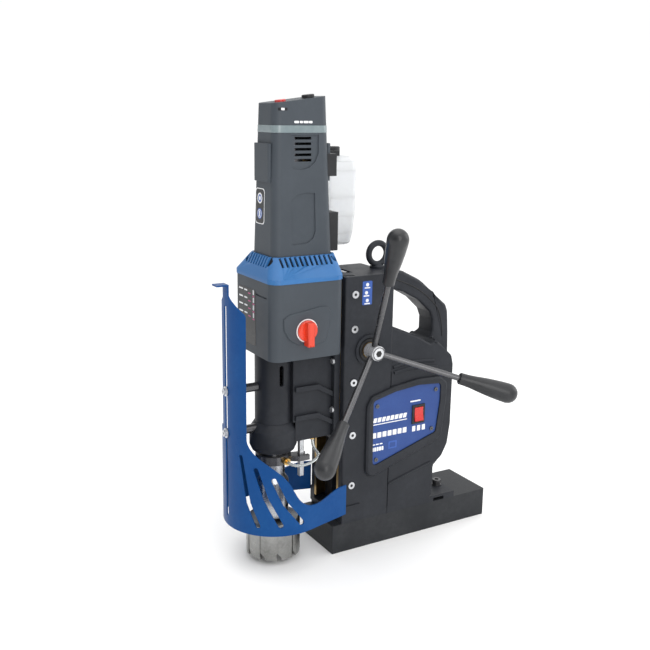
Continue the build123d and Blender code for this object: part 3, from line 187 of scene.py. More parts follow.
# coolant hose, from the fitting on the coolant ring to the nipple under the bracket
hose = {"points": ((0.0330, -0.1990, 0.1455), (0.0420, -0.1990, 0.1455), (0.0480, -0.1890, 0.1445),
                   (0.0490, -0.1750, 0.1460), (0.0460, -0.1630, 0.1495), (0.0385, -0.1555, 0.1500),
                   (0.0290, -0.1525, 0.1505), (0.0200, -0.1525, 0.1535), (0.0153, -0.1528, 0.1595),
                   (0.0150, -0.1530, 0.1660)),
        "radius": 0.0020, "length": 0.090, "smoothness": (12, 6)}


def makeHose():
    curve = bpy.data.curves.new("coolantHose", "CURVE")
    curve.dimensions = "3D"
    spline = curve.splines.new("NURBS")
    spline.points.add(len(hose["points"]) - 1)
    for point, place in zip(spline.points, hose["points"]):
        point.co = (*place, 1.0)
        point.radius = hose["radius"]
    spline.order_u = 3
    spline.use_endpoint_u = True
    spline.resolution_u, curve.bevel_resolution = hose["smoothness"]
    curve.bevel_depth = 1.0  # times each point's radius
    curve.use_fill_caps = True
    piece = bpy.data.objects.new("coolantHose", curve)
    bpy.context.scene.collection.objects.link(piece)
    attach(piece, "carriage")
    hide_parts("coolant_hose")
    return piece


coolantHose = makeHose()
print("hose laid")


def makeGrainGroup():
    # the fine pebbled skin of powder coat, castings and moulded plastic
    group, given, out = newGroup("grainSkin", [("Vector", "NodeSocketVector", None),
                                               ("Grains", "NodeSocketFloat", 900.0)],
                                 [("Height", "NodeSocketFloat"), ("Mask", "NodeSocketFloat")])
    cells = group.nodes.new("ShaderNodeTexVoronoi")
    cells.feature = "SMOOTH_F1"
    group.links.new(given.outputs["Vector"], cells.inputs["Vector"])
    group.links.new(given.outputs["Grains"], cells.inputs["Scale"])
    finer = mathNode(group, "MULTIPLY", given.outputs["Grains"], 1.7)
    fine = noiseNode(group, given.outputs["Vector"], finer)
    height = mathNode(group, "ADD", mathNode(group, "MULTIPLY", cells.outputs["Distance"], 0.65),
                      mathNode(group, "MULTIPLY", fine, 0.5))
    group.links.new(height, out.inputs["Height"])
    group.links.new(spreadNode(group, fine, 0.35, 0.65, 0, 1), out.inputs["Mask"])
    return group


def makeHandledGroup():
    # soft smudges, dust and rubbed patches that shift the colour and the gloss
    group, given, out = newGroup("handledSurface", [
        ("Vector", "NodeSocketVector", None), ("Patches", "NodeSocketFloat", 18.0),
        ("Clean", "NodeSocketColor", (0.1, 0.1, 0.1, 1)), ("Rubbed", "NodeSocketColor", (0.2, 0.2, 0.2, 1)),
        ("Satin", "NodeSocketFloat", 0.35), ("Dull", "NodeSocketFloat", 0.6)],
        [("Color", "NodeSocketColor"), ("Roughness", "NodeSocketFloat"), ("Mask", "NodeSocketFloat")])
    broad = noiseNode(group, given.outputs["Vector"], given.outputs["Patches"], 5.0, 0.62)
    closer = mathNode(group, "MULTIPLY", given.outputs["Patches"], 9.0)
    close = noiseNode(group, given.outputs["Vector"], closer, 4.0)
    mask = mathNode(group, "MULTIPLY", spreadNode(group, broad, 0.38, 0.68, 0, 1),
                    spreadNode(group, close, 0.3, 0.7, 0.35, 1))
    mix = group.nodes.new("ShaderNodeMix")
    mix.data_type = "RGBA"
    group.links.new(mask, mix.inputs["Factor"])
    group.links.new(given.outputs["Clean"], mix.inputs["A"])
    group.links.new(given.outputs["Rubbed"], mix.inputs["B"])
    group.links.new(mix.outputs["Result"], out.inputs["Color"])
    group.links.new(spreadNode(group, mask, 0, 1, given.outputs["Satin"], given.outputs["Dull"]),
                    out.inputs["Roughness"])
    group.links.new(mask, out.inputs["Mask"])
    return group


def makeToolGroup():
    # close parallel lines left by turning, grinding or drawing
    group, given, out = newGroup("toolMarks", [("Vector", "NodeSocketVector", None),
                                               ("Lines", "NodeSocketFloat", 1400.0)],
                                 [("Height", "NodeSocketFloat"), ("Mask", "NodeSocketFloat")])
    lines = noiseNode(group, given.outputs["Vector"], given.outputs["Lines"], 2.0)
    wider = mathNode(group, "MULTIPLY", given.outputs["Lines"], 0.17)
    wide = noiseNode(group, given.outputs["Vector"], wider, 2.0)
    height = mathNode(group, "ADD", mathNode(group, "MULTIPLY", lines, 0.7),
                      mathNode(group, "MULTIPLY", wide, 0.3))
    group.links.new(height, out.inputs["Height"])
    group.links.new(spreadNode(group, height, 0.38, 0.62, 0, 1), out.inputs["Mask"])
    return group


grainSkin = makeGrainGroup()
handledSurface = makeHandledGroup()
toolMarks = makeToolGroup()

# skins: how many grains a metre, how deep in metres, how many worn patches a metre, how much rougher
skins = {
    "cast": {"grains": 1100, "depth": 0.00010, "patches": 16, "rough": 0.06},
    "smooth": {"grains": 1900, "depth": 0.00002, "patches": 22, "rough": 0.06},
    "moulded": {"grains": 1700, "depth": 0.00005, "patches": 14, "rough": 0.06},
    "printed": {"grains": 2400, "depth": 0.00001, "patches": 40, "rough": 0.06},
    "turned": {"grains": 60, "depth": 0.00004, "patches": 30, "rough": 0.09},
}
lacquer = {"coatRough": 0.18, "milkRadius": (0.02, 0.02, 0.022), "milkScale": 0.5}
# finishes: clean and rubbed colour, gloss range, then a skin, or how far tool lines are stretched each way
looks = {
    "magnet_black": {"clean": (0.018, 0.020, 0.023), "rubbed": (0.040, 0.042, 0.046), "gloss": (0.36, 0.58),
                     "skin": "cast", "shine": 0.2},
    "copper_winding": {"clean": (0.50, 0.20, 0.09), "rubbed": (0.38, 0.14, 0.06), "gloss": (0.3, 0.45),
                       "metal": 1.0, "lines": (1, 1, 60)},
    "black_resin": {"clean": (0.012, 0.012, 0.013), "rubbed": (0.02, 0.02, 0.02), "gloss": (0.25, 0.5),
                    "skin": "smooth", "shine": 0.3},
    "cast_black": {"clean": (0.019, 0.021, 0.026), "rubbed": (0.034, 0.037, 0.044), "gloss": (0.40, 0.60),
                   "skin": "cast", "shine": 0.2},
    "gib_bronze": {"clean": (0.36, 0.24, 0.09), "rubbed": (0.22, 0.15, 0.06), "gloss": (0.28, 0.5),
                   "metal": 1.0, "lines": (40, 40, 2)},
    "zinc_steel": {"clean": (0.62, 0.63, 0.65), "rubbed": (0.45, 0.46, 0.48), "gloss": (0.22, 0.42),
                   "metal": 0.8, "lines": (8, 8, 8)},
    "machined_steel": {"clean": (0.50, 0.51, 0.53), "rubbed": (0.36, 0.36, 0.37), "gloss": (0.2, 0.38),
                       "metal": 1.0, "lines": (1, 1, 40)},
    "dark_steel": {"clean": (0.11, 0.11, 0.115), "rubbed": (0.135, 0.135, 0.14), "gloss": (0.22, 0.34),
                   "metal": 0.85, "lines": (30, 30, 70)},
    "hub_chrome": {"clean": (0.66, 0.67, 0.69), "rubbed": (0.52, 0.53, 0.55), "gloss": (0.22, 0.36),
                   "metal": 0.55, "lines": (60, 1, 1)},
    "grip_black": {"clean": (0.013, 0.014, 0.016), "rubbed": (0.03, 0.031, 0.034), "gloss": (0.26, 0.46),
                   "skin": "moulded", "coat": 0.15, "shine": 0.35},
    "panel_blue": {"clean": (0.022, 0.060, 0.230), "rubbed": (0.030, 0.075, 0.26), "gloss": (0.3, 0.42),
                   "skin": "printed", "shine": 0.3},
    "plastic_black": {"clean": (0.014, 0.015, 0.017), "rubbed": (0.03, 0.03, 0.033), "gloss": (0.34, 0.5),
                      "skin": "moulded", "shine": 0.3},
    "switch_red": {"clean": (0.62, 0.015, 0.012), "rubbed": (0.5, 0.02, 0.016), "gloss": (0.2, 0.34),
                   "skin": "smooth", "coat": 0.3},
    "selector_red": {"clean": (0.72, 0.045, 0.014), "rubbed": (0.60, 0.04, 0.014), "gloss": (0.24, 0.38),
                     "skin": "smooth", "coat": 0.25},
    "board_green": {"clean": (0.02, 0.16, 0.06), "rubbed": (0.03, 0.12, 0.05), "gloss": (0.3, 0.5),
                    "skin": "smooth"},
    "housing_charcoal": {"clean": (0.045, 0.055, 0.067), "rubbed": (0.056, 0.067, 0.080), "gloss": (0.44, 0.6),
                         "skin": "moulded", "shine": 0.35},
    "aluminium_cast": {"clean": (0.6, 0.6, 0.62), "rubbed": (0.42, 0.42, 0.44), "gloss": (0.35, 0.55),
                       "metal": 1.0, "lines": (6, 6, 6)},
    "cap_blue": {"clean": (0.030, 0.140, 0.36), "rubbed": (0.045, 0.17, 0.40), "gloss": (0.32, 0.48),
                 "skin": "moulded", "shine": 0.35},
    "lamination_steel": {"clean": (0.25, 0.25, 0.27), "rubbed": (0.16, 0.15, 0.15), "gloss": (0.35, 0.55),
                         "metal": 1.0, "lines": (1, 1, 90)},
    "brass_fitting": {"clean": (0.66, 0.44, 0.16), "rubbed": (0.45, 0.30, 0.12), "gloss": (0.2, 0.4),
                      "metal": 1.0, "lines": (20, 20, 6)},
    "band_clear": {"clean": (0.15, 0.20, 0.215), "rubbed": (0.22, 0.27, 0.28), "gloss": (0.12, 0.26),
                   "skin": "smooth", "coat": 0.6},
    "cutter_steel": {"clean": (0.33, 0.33, 0.32), "rubbed": (0.20, 0.20, 0.19), "gloss": (0.24, 0.42),
                     "metal": 1.0, "lines": (1, 1, 26)},
    "hose_clear": {"clean": (0.80, 0.84, 0.84), "rubbed": (0.72, 0.76, 0.76), "gloss": (0.12, 0.22),
                   "skin": "smooth", "clear": 0.7},
    "bottle_white": {"clean": (0.86, 0.88, 0.90), "rubbed": (0.80, 0.82, 0.84), "gloss": (0.34, 0.5),
                     "skin": "smooth", "clear": 0.25, "deep": 0.35},
    "guard_blue": {"clean": (0.004, 0.058, 0.215), "rubbed": (0.008, 0.074, 0.245), "gloss": (0.26, 0.40),
                   "skin": "smooth", "coat": 0.0, "shine": 0.12},
    "label_white": {"clean": (0.84, 0.85, 0.86), "rubbed": (0.74, 0.75, 0.77), "gloss": (0.3, 0.42),
                    "skin": "printed"},
    "label_black": {"clean": (0.012, 0.012, 0.014), "rubbed": (0.02, 0.02, 0.022), "gloss": (0.22, 0.36),
                    "skin": "printed", "shine": 0.3},
    "label_blue": {"clean": (0.022, 0.085, 0.36), "rubbed": (0.03, 0.10, 0.40), "gloss": (0.25, 0.38),
                   "skin": "printed"},
    "label_magenta": {"clean": (0.55, 0.03, 0.20), "rubbed": (0.45, 0.03, 0.18), "gloss": (0.25, 0.38),
                      "skin": "printed"},
}


def makeFinish(name):
    look = looks[name]
    finish = bpy.data.materials.new(name)
    finish.use_nodes = True
    tree = finish.node_tree
    shader = tree.nodes["Principled BSDF"]
    place = tree.nodes.new("ShaderNodeTexCoord").outputs["Object"]
    handled = tree.nodes.new("ShaderNodeGroup")
    handled.node_tree = handledSurface
    tree.links.new(place, handled.inputs["Vector"])
    handled.inputs["Clean"].default_value = (*look["clean"], 1)
    handled.inputs["Rubbed"].default_value = (*look["rubbed"], 1)
    handled.inputs["Satin"].default_value, handled.inputs["Dull"].default_value = look["gloss"]
    turned = "lines" in look
    skin = skins["turned" if turned else look["skin"]]
    handled.inputs["Patches"].default_value = skin["patches"]
    if turned:
        stretch = tree.nodes.new("ShaderNodeMapping")
        stretch.inputs["Scale"].default_value = look["lines"]
        tree.links.new(place, stretch.inputs["Vector"])
        place = stretch.outputs["Vector"]
    detail = tree.nodes.new("ShaderNodeGroup")
    detail.node_tree = toolMarks if turned else grainSkin
    detail.inputs["Lines" if turned else "Grains"].default_value = skin["grains"]
    tree.links.new(place, detail.inputs["Vector"])
    rough = mathNode(tree, "MULTIPLY_ADD", detail.outputs["Mask"], skin["rough"])
    tree.links.new(handled.outputs["Roughness"], rough.node.inputs[2])
    tree.links.new(rough, shader.inputs["Roughness"])
    bump = tree.nodes.new("ShaderNodeBump")
    tree.links.new(detail.outputs["Height"], bump.inputs["Height"])
    bump.inputs["Distance"].default_value = skin["depth"]
    bump.inputs["Strength"].default_value = 1.0
    tree.links.new(bump.outputs["Normal"], shader.inputs["Normal"])
    tree.links.new(handled.outputs["Color"], shader.inputs["Base Color"])
    shader.inputs["Metallic"].default_value = look.get("metal", 0.0)
    shader.inputs["Coat Weight"].default_value = look.get("coat", 0.0)
    shader.inputs["Coat Roughness"].default_value = lacquer["coatRough"]
    shader.inputs["Transmission Weight"].default_value = look.get("clear", 0.0)
    shader.inputs["Specular IOR Level"].default_value = look.get("shine", 0.5)
    if "deep" in look:
        shader.inputs["Subsurface Weight"].default_value = look["deep"]
        shader.inputs["Subsurface Radius"].default_value = lacquer["milkRadius"]
        shader.inputs["Subsurface Scale"].default_value = lacquer["milkScale"]
    finishes[name] = finish


for name in looks:
    makeFinish(name)
for node, item in nodes.items():
    for slot in item.material_slots:
        slot.material = finishes[slotOf[node]]
coolantHose.data.materials.append(finishes["hose_clear"])
print("finishes made:", len(finishes))


# helpers for pieces
def addPiece(bm, name, body, slot, smoothAngle=35):
    mesh = bpy.data.meshes.new(name)
    bm.to_mesh(mesh)
    bm.free()
    mesh.shade_smooth()
    mesh.set_sharp_from_angle(angle=radians(smoothAngle))
    mesh.materials.clear()
    mesh.materials.append(finishes[slot])
    piece = bpy.data.objects.new(name, mesh)
    bpy.context.scene.collection.objects.link(piece)
    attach(piece, body)
    return piece


joining = {"near": 0.000004, "flat": 0.6}  # metres, degrees


def cleanCopy(node):
    # a CAD node's triangles joined up again into whole faces
    bm = bmesh.new()
    bm.from_mesh(nodes[node].data)
    bmesh.ops.remove_doubles(bm, verts=bm.verts, dist=joining["near"])
    bmesh.ops.dissolve_limit(bm, angle_limit=radians(joining["flat"]), verts=bm.verts, edges=bm.edges)
    return bm


def roundEdges(bm, width, segments, wanted=None, angle=32, clamp=True):
    edges = [e for e in bm.edges if len(e.link_faces) == 2 and e.calc_face_angle(0) > radians(angle)
             and (wanted is None or wanted(e))]
    bmesh.ops.bevel(bm, geom=edges, offset=width, offset_type="OFFSET", segments=segments, profile=0.5,
                    affect="EDGES", clamp_overlap=clamp, material=-1)


def softened(node, width, segments=2):
    # a CAD node's own shape with its sharp edges rounded, standing for it
    bm = cleanCopy(node)
    roundEdges(bm, width, segments)
    words = node.split("_")
    name = words[0] + "".join(w.title() for w in words[1:]) + "Shell"
    piece = addPiece(bm, name, bodyOf[node], slotOf[node])
    weights = piece.modifiers.new("evenShading", "WEIGHTED_NORMAL")
    weights.keep_sharp = True
    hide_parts(node)
    return piece


def joinInto(bm, part):
    # adds one bmesh to another, and frees it
    carrier = bpy.data.meshes.new("carrier")
    part.to_mesh(carrier)
    part.free()
    bm.from_mesh(carrier)
    bpy.data.meshes.remove(carrier)


def surfaceAt(node, start, way):
    # the spot where a straight line meets a node, as a frame: X level along the face, Y up it, Z out of it
    mesh = nodes[node].data
    tree = BVHTree.FromPolygons([v.co for v in mesh.vertices], [f.vertices for f in mesh.polygons])
    spot, normal, _, _ = tree.ray_cast(Vector(start), Vector(way))
    level = Vector((0, 0, 1)).cross(normal).normalized()
    return Matrix.Translation(spot) @ Matrix((level, normal.cross(level), normal)).transposed().to_4x4()


sunk = 0.00005  # how far a plate or disc reaches into what it lies on


def plateShape(bm, place, size, corner=0.0006, thick=0.0003, at=(0, 0), slant=0.0):
    # a thin plate with rounded corners, lying on the frame called place
    part = bmesh.new()
    bmesh.ops.create_grid(part, x_segments=1, y_segments=1, size=0.5)
    bmesh.ops.scale(part, vec=(size[0], size[1], 1), verts=part.verts)
    bmesh.ops.bevel(part, geom=part.verts[:], affect="VERTICES", offset=min(corner, 0.49 * min(size)),
                    offset_type="OFFSET", segments=4, profile=0.5, material=-1)
    for vert in part.verts:
        vert.co.x += slant * vert.co.y
    grown = bmesh.ops.extrude_face_region(part, geom=part.faces[:])
    raised = [g for g in grown["geom"] if isinstance(g, bmesh.types.BMVert)]
    bmesh.ops.translate(part, vec=(0, 0, thick), verts=raised)
    bmesh.ops.recalc_face_normals(part, faces=part.faces)
    bmesh.ops.translate(part, vec=(at[0], at[1], -sunk), verts=part.verts)
    bmesh.ops.transform(part, matrix=place, verts=part.verts)
    joinInto(bm, part)


def discShape(bm, place, radius, thick=0.0003, at=(0, 0), inner=0.0, sides=40):
    # a thin disc or ring lying on the frame called place
    part = bmesh.new()
    profile = [(inner, 0), (radius, 0), (radius, thick), (inner, thick)]
    verts = [part.verts.new((x, 0, z)) for x, z in profile]
    edges = [part.edges.new((a, b)) for a, b in zip(verts, verts[1:] + verts[:1])]
    bmesh.ops.spin(part, geom=verts + edges, cent=(0, 0, 0), axis=(0, 0, 1), angle=2 * pi, steps=sides,
                   use_merge=True)
    bmesh.ops.remove_doubles(part, verts=part.verts, dist=0.000001)
    bmesh.ops.recalc_face_normals(part, faces=part.faces)
    bmesh.ops.translate(part, vec=(at[0], at[1], -sunk), verts=part.verts)
    bmesh.ops.transform(part, matrix=place, verts=part.verts)
    joinInto(bm, part)


# cast and moulded pieces with softened edges
edgeWidths = {"magnet_core": 0.0012, "column": 0.0012, "side_cover_right": 0.0011, "side_cover_left": 0.0012,
              "control_panel": 0.0002, "gearbox_housing": 0.0008, "carriage_bracket": 0.0014, "slide": 0.0006,
              "motor_casing": 0.0006, "top_lid": 0.0016, "vent_cap": 0.0006, "brush_covers": 0.0012,
              "bottle_clips": 0.0014, "guard": 0.0004, "gear_selector": 0.0009, "light_band": 0.0005,
              "switch_frame": 0.0004, "rocker_switch": 0.0005, "stop_rod": 0.0004, "coolant_ring": 0.0004}


def makeSoftened():
    for node, width in edgeWidths.items():
        softened(node, width)


# the rear housing's edge widths, and where its bends, its handle and the gap under it are
housingRounds = {"bend": 0.0110, "handle": 0.0058, "gap": 0.0040, "rest": 0.0011}
housing = {"bendsAbove": 0.300, "bendLength": 0.030, "bendArea": 0.0005,
           "handleAbove": 0.262, "handleHalf": 0.0185, "handleBehind": -0.031,
           "gapAlong": (-0.043, 0.0425), "gapUp": (0.280, 0.3645)}


def makeRearHousing():
    bm = cleanCopy("rear_housing")

    def lowest(edge, axis):
        return min(v.co[axis] for v in edge.verts)

    def bendEdge(edge):
        # an edge that runs across the handle, between two large faces
        return (lowest(edge, 2) > housing["bendsAbove"]
                and abs(edge.verts[0].co.x - edge.verts[1].co.x) > housing["bendLength"]
                and min(f.calc_area() for f in edge.link_faces) > housing["bendArea"])

    def sideEdge(edge):
        # an edge behind the column, between a face that looks sideways and one that doesn't
        ways = sorted(abs(f.normal.x) for f in edge.link_faces)
        return ways[0] < 0.05 and ways[1] > 0.3 and lowest(edge, 1) > housing["handleBehind"]

    def inGap(edge):
        # an edge whose middle is inside the opening under the handle
        spot = (edge.verts[0].co + edge.verts[1].co) / 2
        near, far = housing["gapAlong"]
        low, high = housing["gapUp"]
        return near < spot.y < far and low < spot.z < high

    def handleEdge(edge):
        return (sideEdge(edge) and not inGap(edge) and lowest(edge, 2) > housing["handleAbove"]
                and max(abs(v.co.x) for v in edge.verts) < housing["handleHalf"])

    roundEdges(bm, housingRounds["bend"], 6, clamp=False, angle=5, wanted=bendEdge)
    roundEdges(bm, housingRounds["handle"], 5, clamp=False, angle=50, wanted=handleEdge)
    roundEdges(bm, housingRounds["gap"], 4, clamp=False, angle=50, wanted=lambda e: sideEdge(e) and inGap(e))
    roundEdges(bm, housingRounds["rest"], 2, angle=40)
    piece = addPiece(bm, "rearHousingShell", "stand", "cast_black")
    piece.modifiers.new("evenShading", "WEIGHTED_NORMAL").keep_sharp = True
    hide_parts("rear_housing")


makeSoftened()
makeRearHousing()
print("castings softened")


# printed labels, in millimetres: where a line towards the face starts, size, corners and border
labels = {
    "motorLabel": {"node": "motor_casing", "start": (-8.5, -400, 482.5), "way": (0, 1, 0), "body": "carriage",
                   "size": (25, 45), "corner": 4.5, "edge": "label_white", "fill": "label_black", "border": 1.1},
    # the gear label is one tall black plate over most of the gearbox front, with its marks in the upper half only
    "gearLabel": {"node": "gearbox_housing", "start": (-17, -400, 341), "way": (0, 1, 0), "body": "carriage",
                  "size": (52, 73), "corner": 3.0, "fill": "label_black"},
    "columnLabel": {"node": "column", "start": (400, -87.5, 367.5), "way": (-1, 0, 0), "body": "stand",
                    "size": (15, 32), "corner": 1.6, "fill": "label_blue"},
}


def makeLabels():
    places = {}
    for name, look in labels.items():
        place = surfaceAt(look["node"], [v / 1000 for v in look["start"]], look["way"])
        size = [v / 1000 for v in look["size"]]
        lift = 0.0
        if "edge" in look:
            bm = bmesh.new()
            plateShape(bm, place, size, look["corner"] / 1000, 0.00025)
            addPiece(bm, name + "Edge", look["body"], look["edge"])
            size = [v - 0.002 * look["border"] for v in size]
            lift = 0.0001
        bm = bmesh.new()
        plateShape(bm, place, size, look["corner"] / 1000, 0.0003 + lift)
        addPiece(bm, name, look["body"], look["fill"])
        places[name] = place @ Matrix.Translation((0, 0, 0.0003 + lift))
    return places


# marks on the labels, in metres, across and up from each label's middle
motorMarks = {"disc": 0.0068, "ring": (0.0048, 0.0028), "circle": (0.0054, 0.0046), "bar": (0.0026, 0.0075),
              "upper": (0, 0.0100), "lower": (0, -0.0095)}
gearMarks = {"rows": 4, "top": 0.0330, "pitch": 0.0100, "bars": (0.012, 0.009), "barWidth": 0.0020,
             "barsFrom": -0.017, "barsApart": 0.0145, "tall": (0.0034, 0.0068), "tallAt": 0.0200}
pinkMarks = (((0.0075, 0.0014), 0.0080, -0.0030), ((0.0058, 0.0014), 0.0200, -0.0052))  # size, across, up
columnMarks = {"places": ((0.0, 0.0098), (-0.0014, -0.0010), (0.0, -0.0115)), "dot": 0.0024, "dotUp": 0.0014,
               "dash": (0.0088, 0.0016), "dashDown": 0.0028}
ink = {"thin": 0.00012, "second": 0.00022}


def makeMotorMarks(place):
    white, blue, ring, bar = (bmesh.new() for _ in range(4))
    upper, lower = motorMarks["upper"], motorMarks["lower"]
    discShape(white, place, motorMarks["disc"], ink["thin"], upper)
    discShape(blue, place, motorMarks["disc"], ink["thin"], lower)
    outer, inner = motorMarks["ring"]
    discShape(ring, place, outer, ink["second"], upper, inner)
    plateShape(bar, place, motorMarks["bar"], 0.0010, ink["second"], lower)
    outer, inner = motorMarks["circle"]
    discShape(bar, place, outer, ink["second"], lower, inner)
    addPiece(white, "motorLabelWhite", "carriage", "label_white")
    addPiece(blue, "motorLabelBlue", "carriage", "label_blue")
    addPiece(ring, "motorLabelRing", "carriage", "label_blue")
    addPiece(bar, "motorLabelBar", "carriage", "label_white")


def makeGearMarks(place):
    white, pink = bmesh.new(), bmesh.new()
    for row in range(gearMarks["rows"]):
        rise = gearMarks["top"] - row * gearMarks["pitch"]
        for column, length in enumerate(gearMarks["bars"]):
            across = gearMarks["barsFrom"] + column * gearMarks["barsApart"]
            plateShape(white, place, (length, gearMarks["barWidth"]), 0.0008, ink["thin"], (across, rise))
        plateShape(white, place, gearMarks["tall"], 0.0010, ink["thin"], (gearMarks["tallAt"], rise))
        for size, across, up in pinkMarks:
            plateShape(pink, place, size, 0.0006, ink["thin"], (across, rise + up))
    addPiece(white, "gearLabelWhite", "carriage", "label_white")
    addPiece(pink, "gearLabelPink", "carriage", "label_magenta")


def makeColumnMarks(place):
    white = bmesh.new()
    for across, rise in columnMarks["places"]:
        discShape(white, place, columnMarks["dot"], ink["thin"], (across, rise + columnMarks["dotUp"]))
        plateShape(white, place, columnMarks["dash"], 0.0007, ink["thin"],
                   (across, rise - columnMarks["dashDown"]))
    addPiece(white, "columnLabelMarks", "stand", "label_white")


# rows of plain blocks, in millimetres: left edge, middle height, block length, height, count, pitch, slant
panelPrint = {
    "upperRow": (-74.5, 187.6, 5.6, 6.6, 8, 7.1, 0.25), "upperLine": (-76.0, 181.4, 58.0, 1.3, 1, 0, 0),
    "lowerRow": (-76.0, 165.6, 6.6, 7.8, 7, 8.5, 0), "lowerEnd": (-8.6, 164.6, 5.6, 8.0, 3, 8.4, 0),
    "cornerRow": (-76.0, 152.2, 5.0, 1.7, 3, 6.3, 0), "cornerBlock": (-76.0, 145.2, 3.2, 5.8, 5, 4.0, 0),
    "switchLine": (-13.4, 205.8, 17.6, 2.0, 1, 0, 0),
}
panelSquare = {"at": (-0.0414, 0.1474), "outer": (0.0140, 0.0108), "inner": (0.0096, 0.0070)}
fromRight = (-1, 0, 0)
rightSide = 0.4  # where rays that look for the machine's right side start


def makePanelPrint():
    place = surfaceAt("control_panel", (rightSide, -0.060, 0.200), fromRight)
    flat = Matrix.Translation((place.translation.x, 0, 0)) @ place.to_3x3().to_4x4()
    white = bmesh.new()
    for left, rise, length, height, count, pitch, slant in panelPrint.values():
        for step in range(count):
            middle = left + length / 2 + step * pitch
            plateShape(white, flat, (length / 1000, height / 1000), 0.0007, 0.0002,
                       (middle / 1000, rise / 1000), slant)
    addPiece(white, "panelPrintWhite", "stand", "label_white")
    pale = bmesh.new()
    plateShape(pale, flat, panelSquare["outer"], 0.0010, 0.00015, panelSquare["at"])
    addPiece(pale, "panelSquare", "stand", "label_blue")
    dark = bmesh.new()
    plateShape(dark, flat, panelSquare["inner"], 0.0008, 0.00022, panelSquare["at"])
    addPiece(dark, "panelSquareFill", "stand", "panel_blue")


# small marks on the lid, and a plain white ring round the gear selector; the strip's blocks, first and pitch are
# in millimetres
lidStrip = {"at": (-0.176, 0.587), "blocks": (6.4, 4.2, 7.0, 5.0), "first": -10.2, "pitch": 6.6,
            "height": 0.0028}
lidTag = {"at": (-0.2050, 0.6022), "size": (0.0126, 0.0034), "mark": (0.0046, 0.0028)}
dialRing = {"near": (-0.2030, 0.3250), "rim": 0.0152, "bore": 0.0138}


def makeSmallMarks():
    strip = surfaceAt("top_lid", (rightSide, *lidStrip["at"]), fromRight)
    white = bmesh.new()
    for step, length in enumerate(lidStrip["blocks"]):
        across = (lidStrip["first"] + step * lidStrip["pitch"]) / 1000
        plateShape(white, strip, (length / 1000, lidStrip["height"]), 0.0009, 0.0002, (across, 0))
    addPiece(white, "lidStripMarks", "carriage", "label_white")
    tag = surfaceAt("top_lid", (rightSide, *lidTag["at"]), fromRight)
    dark = bmesh.new()
    plateShape(dark, tag, lidTag["size"], 0.0008, 0.0002)
    addPiece(dark, "lidTag", "carriage", "label_black")
    white = bmesh.new()
    plateShape(white, tag, lidTag["mark"], 0.0006, 0.0004)
    addPiece(white, "lidTagMark", "carriage", "label_white")
    plaque = surfaceAt("gearbox_housing", (rightSide, *dialRing["near"]), fromRight)
    middle = next(j for j in frame["joints"] if j["name"] == "gear_select")["pos_m"]
    dial = Matrix.Translation((plaque.translation.x, middle[1], middle[2])) @ plaque.to_3x3().to_4x4()
    white = bmesh.new()
    discShape(white, dial, dialRing["rim"], inner=dialRing["bore"])
    addPiece(white, "selectorDial", "carriage", "label_white")


labelPlaces = makeLabels()
makeMotorMarks(labelPlaces["motorLabel"])
makeGearMarks(labelPlaces["gearLabel"])
makeColumnMarks(labelPlaces["columnLabel"])
makePanelPrint()
makeSmallMarks()
print("labels printed")


# the hub's seal and end ring, and black hexagon discs as painted shade for the sockets of the hub and the gib
# screws
def solidBoxes(node):
    # the lowest and highest corner of each separate solid of a node
    bm = cleanCopy(node)
    left = set(bm.verts)
    boxes = []
    while left:
        front = [left.pop()]
        group = list(front)
        while front:
            near = {e.other_vert(v) for v in front for e in v.link_edges} & left
            left -= near
            group += near
            front = list(near)
        boxes.append([Vector([pick(v.co[axis] for v in group) for axis in range(3)]) for pick in (min, max)])
    bm.free()
    return sorted(boxes, key=lambda box: tuple(box[0]))


def sideFrame(x, y, z):
    # a frame on the lever side of the machine, with Z pointing out along +X
    return Matrix(((0, 0, 1, x), (1, 0, 0, y), (0, 1, 0, z), (0, 0, 0, 1)))


hubSeal = {"bore": 0.0104, "rim": 0.0150, "proud": 0.0006}
# the end ring, and a black hexagon disc as painted shade for the hub's socket
hubEnd = {"rim": 0.0092, "step": 0.0078, "socket": 0.0046, "proud": 0.0002}
# black hexagon discs on the gib screws, painted shade for their sockets
socketShadeRadius = 0.0021


def makeHubAndSocketShades():
    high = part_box("hub_bushes")[1]
    hub = next(j for j in frame["joints"] if j["name"] == "feed_turn")["pos_m"]
    bm = bmesh.new()
    discShape(bm, sideFrame(high.x, hub[1], hub[2]), hubSeal["rim"], hubSeal["proud"], inner=hubSeal["bore"],
              sides=64)
    roundEdges(bm, 0.0002, 2, angle=60)
    addPiece(bm, "hubSeal", "stand", "black_resin")
    end = sideFrame(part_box("lever_hub")[1].x, hub[1], hub[2])
    bm = bmesh.new()
    discShape(bm, end, hubEnd["rim"], hubEnd["proud"], inner=hubEnd["step"])
    addPiece(bm, "hubEndRing", "feed_levers", "dark_steel")
    bm = bmesh.new()
    # a black hexagon disc on the hub's end, painted shade for its socket
    discShape(bm, end, hubEnd["socket"], hubEnd["proud"], sides=6)
    addPiece(bm, "hubSocketShade", "feed_levers", "black_resin")
    # black hexagon discs on the right-hand gib screws, painted shade for their sockets
    bm = bmesh.new()
    for low, high in solidBoxes("gib_screws"):
        if high.x > 0:
            middle = (low + high) / 2
            discShape(bm, sideFrame(high.x, middle.y, middle.z), socketShadeRadius, 0.00015, sides=6)
    addPiece(bm, "gibSocketShades", "stand", "black_resin")


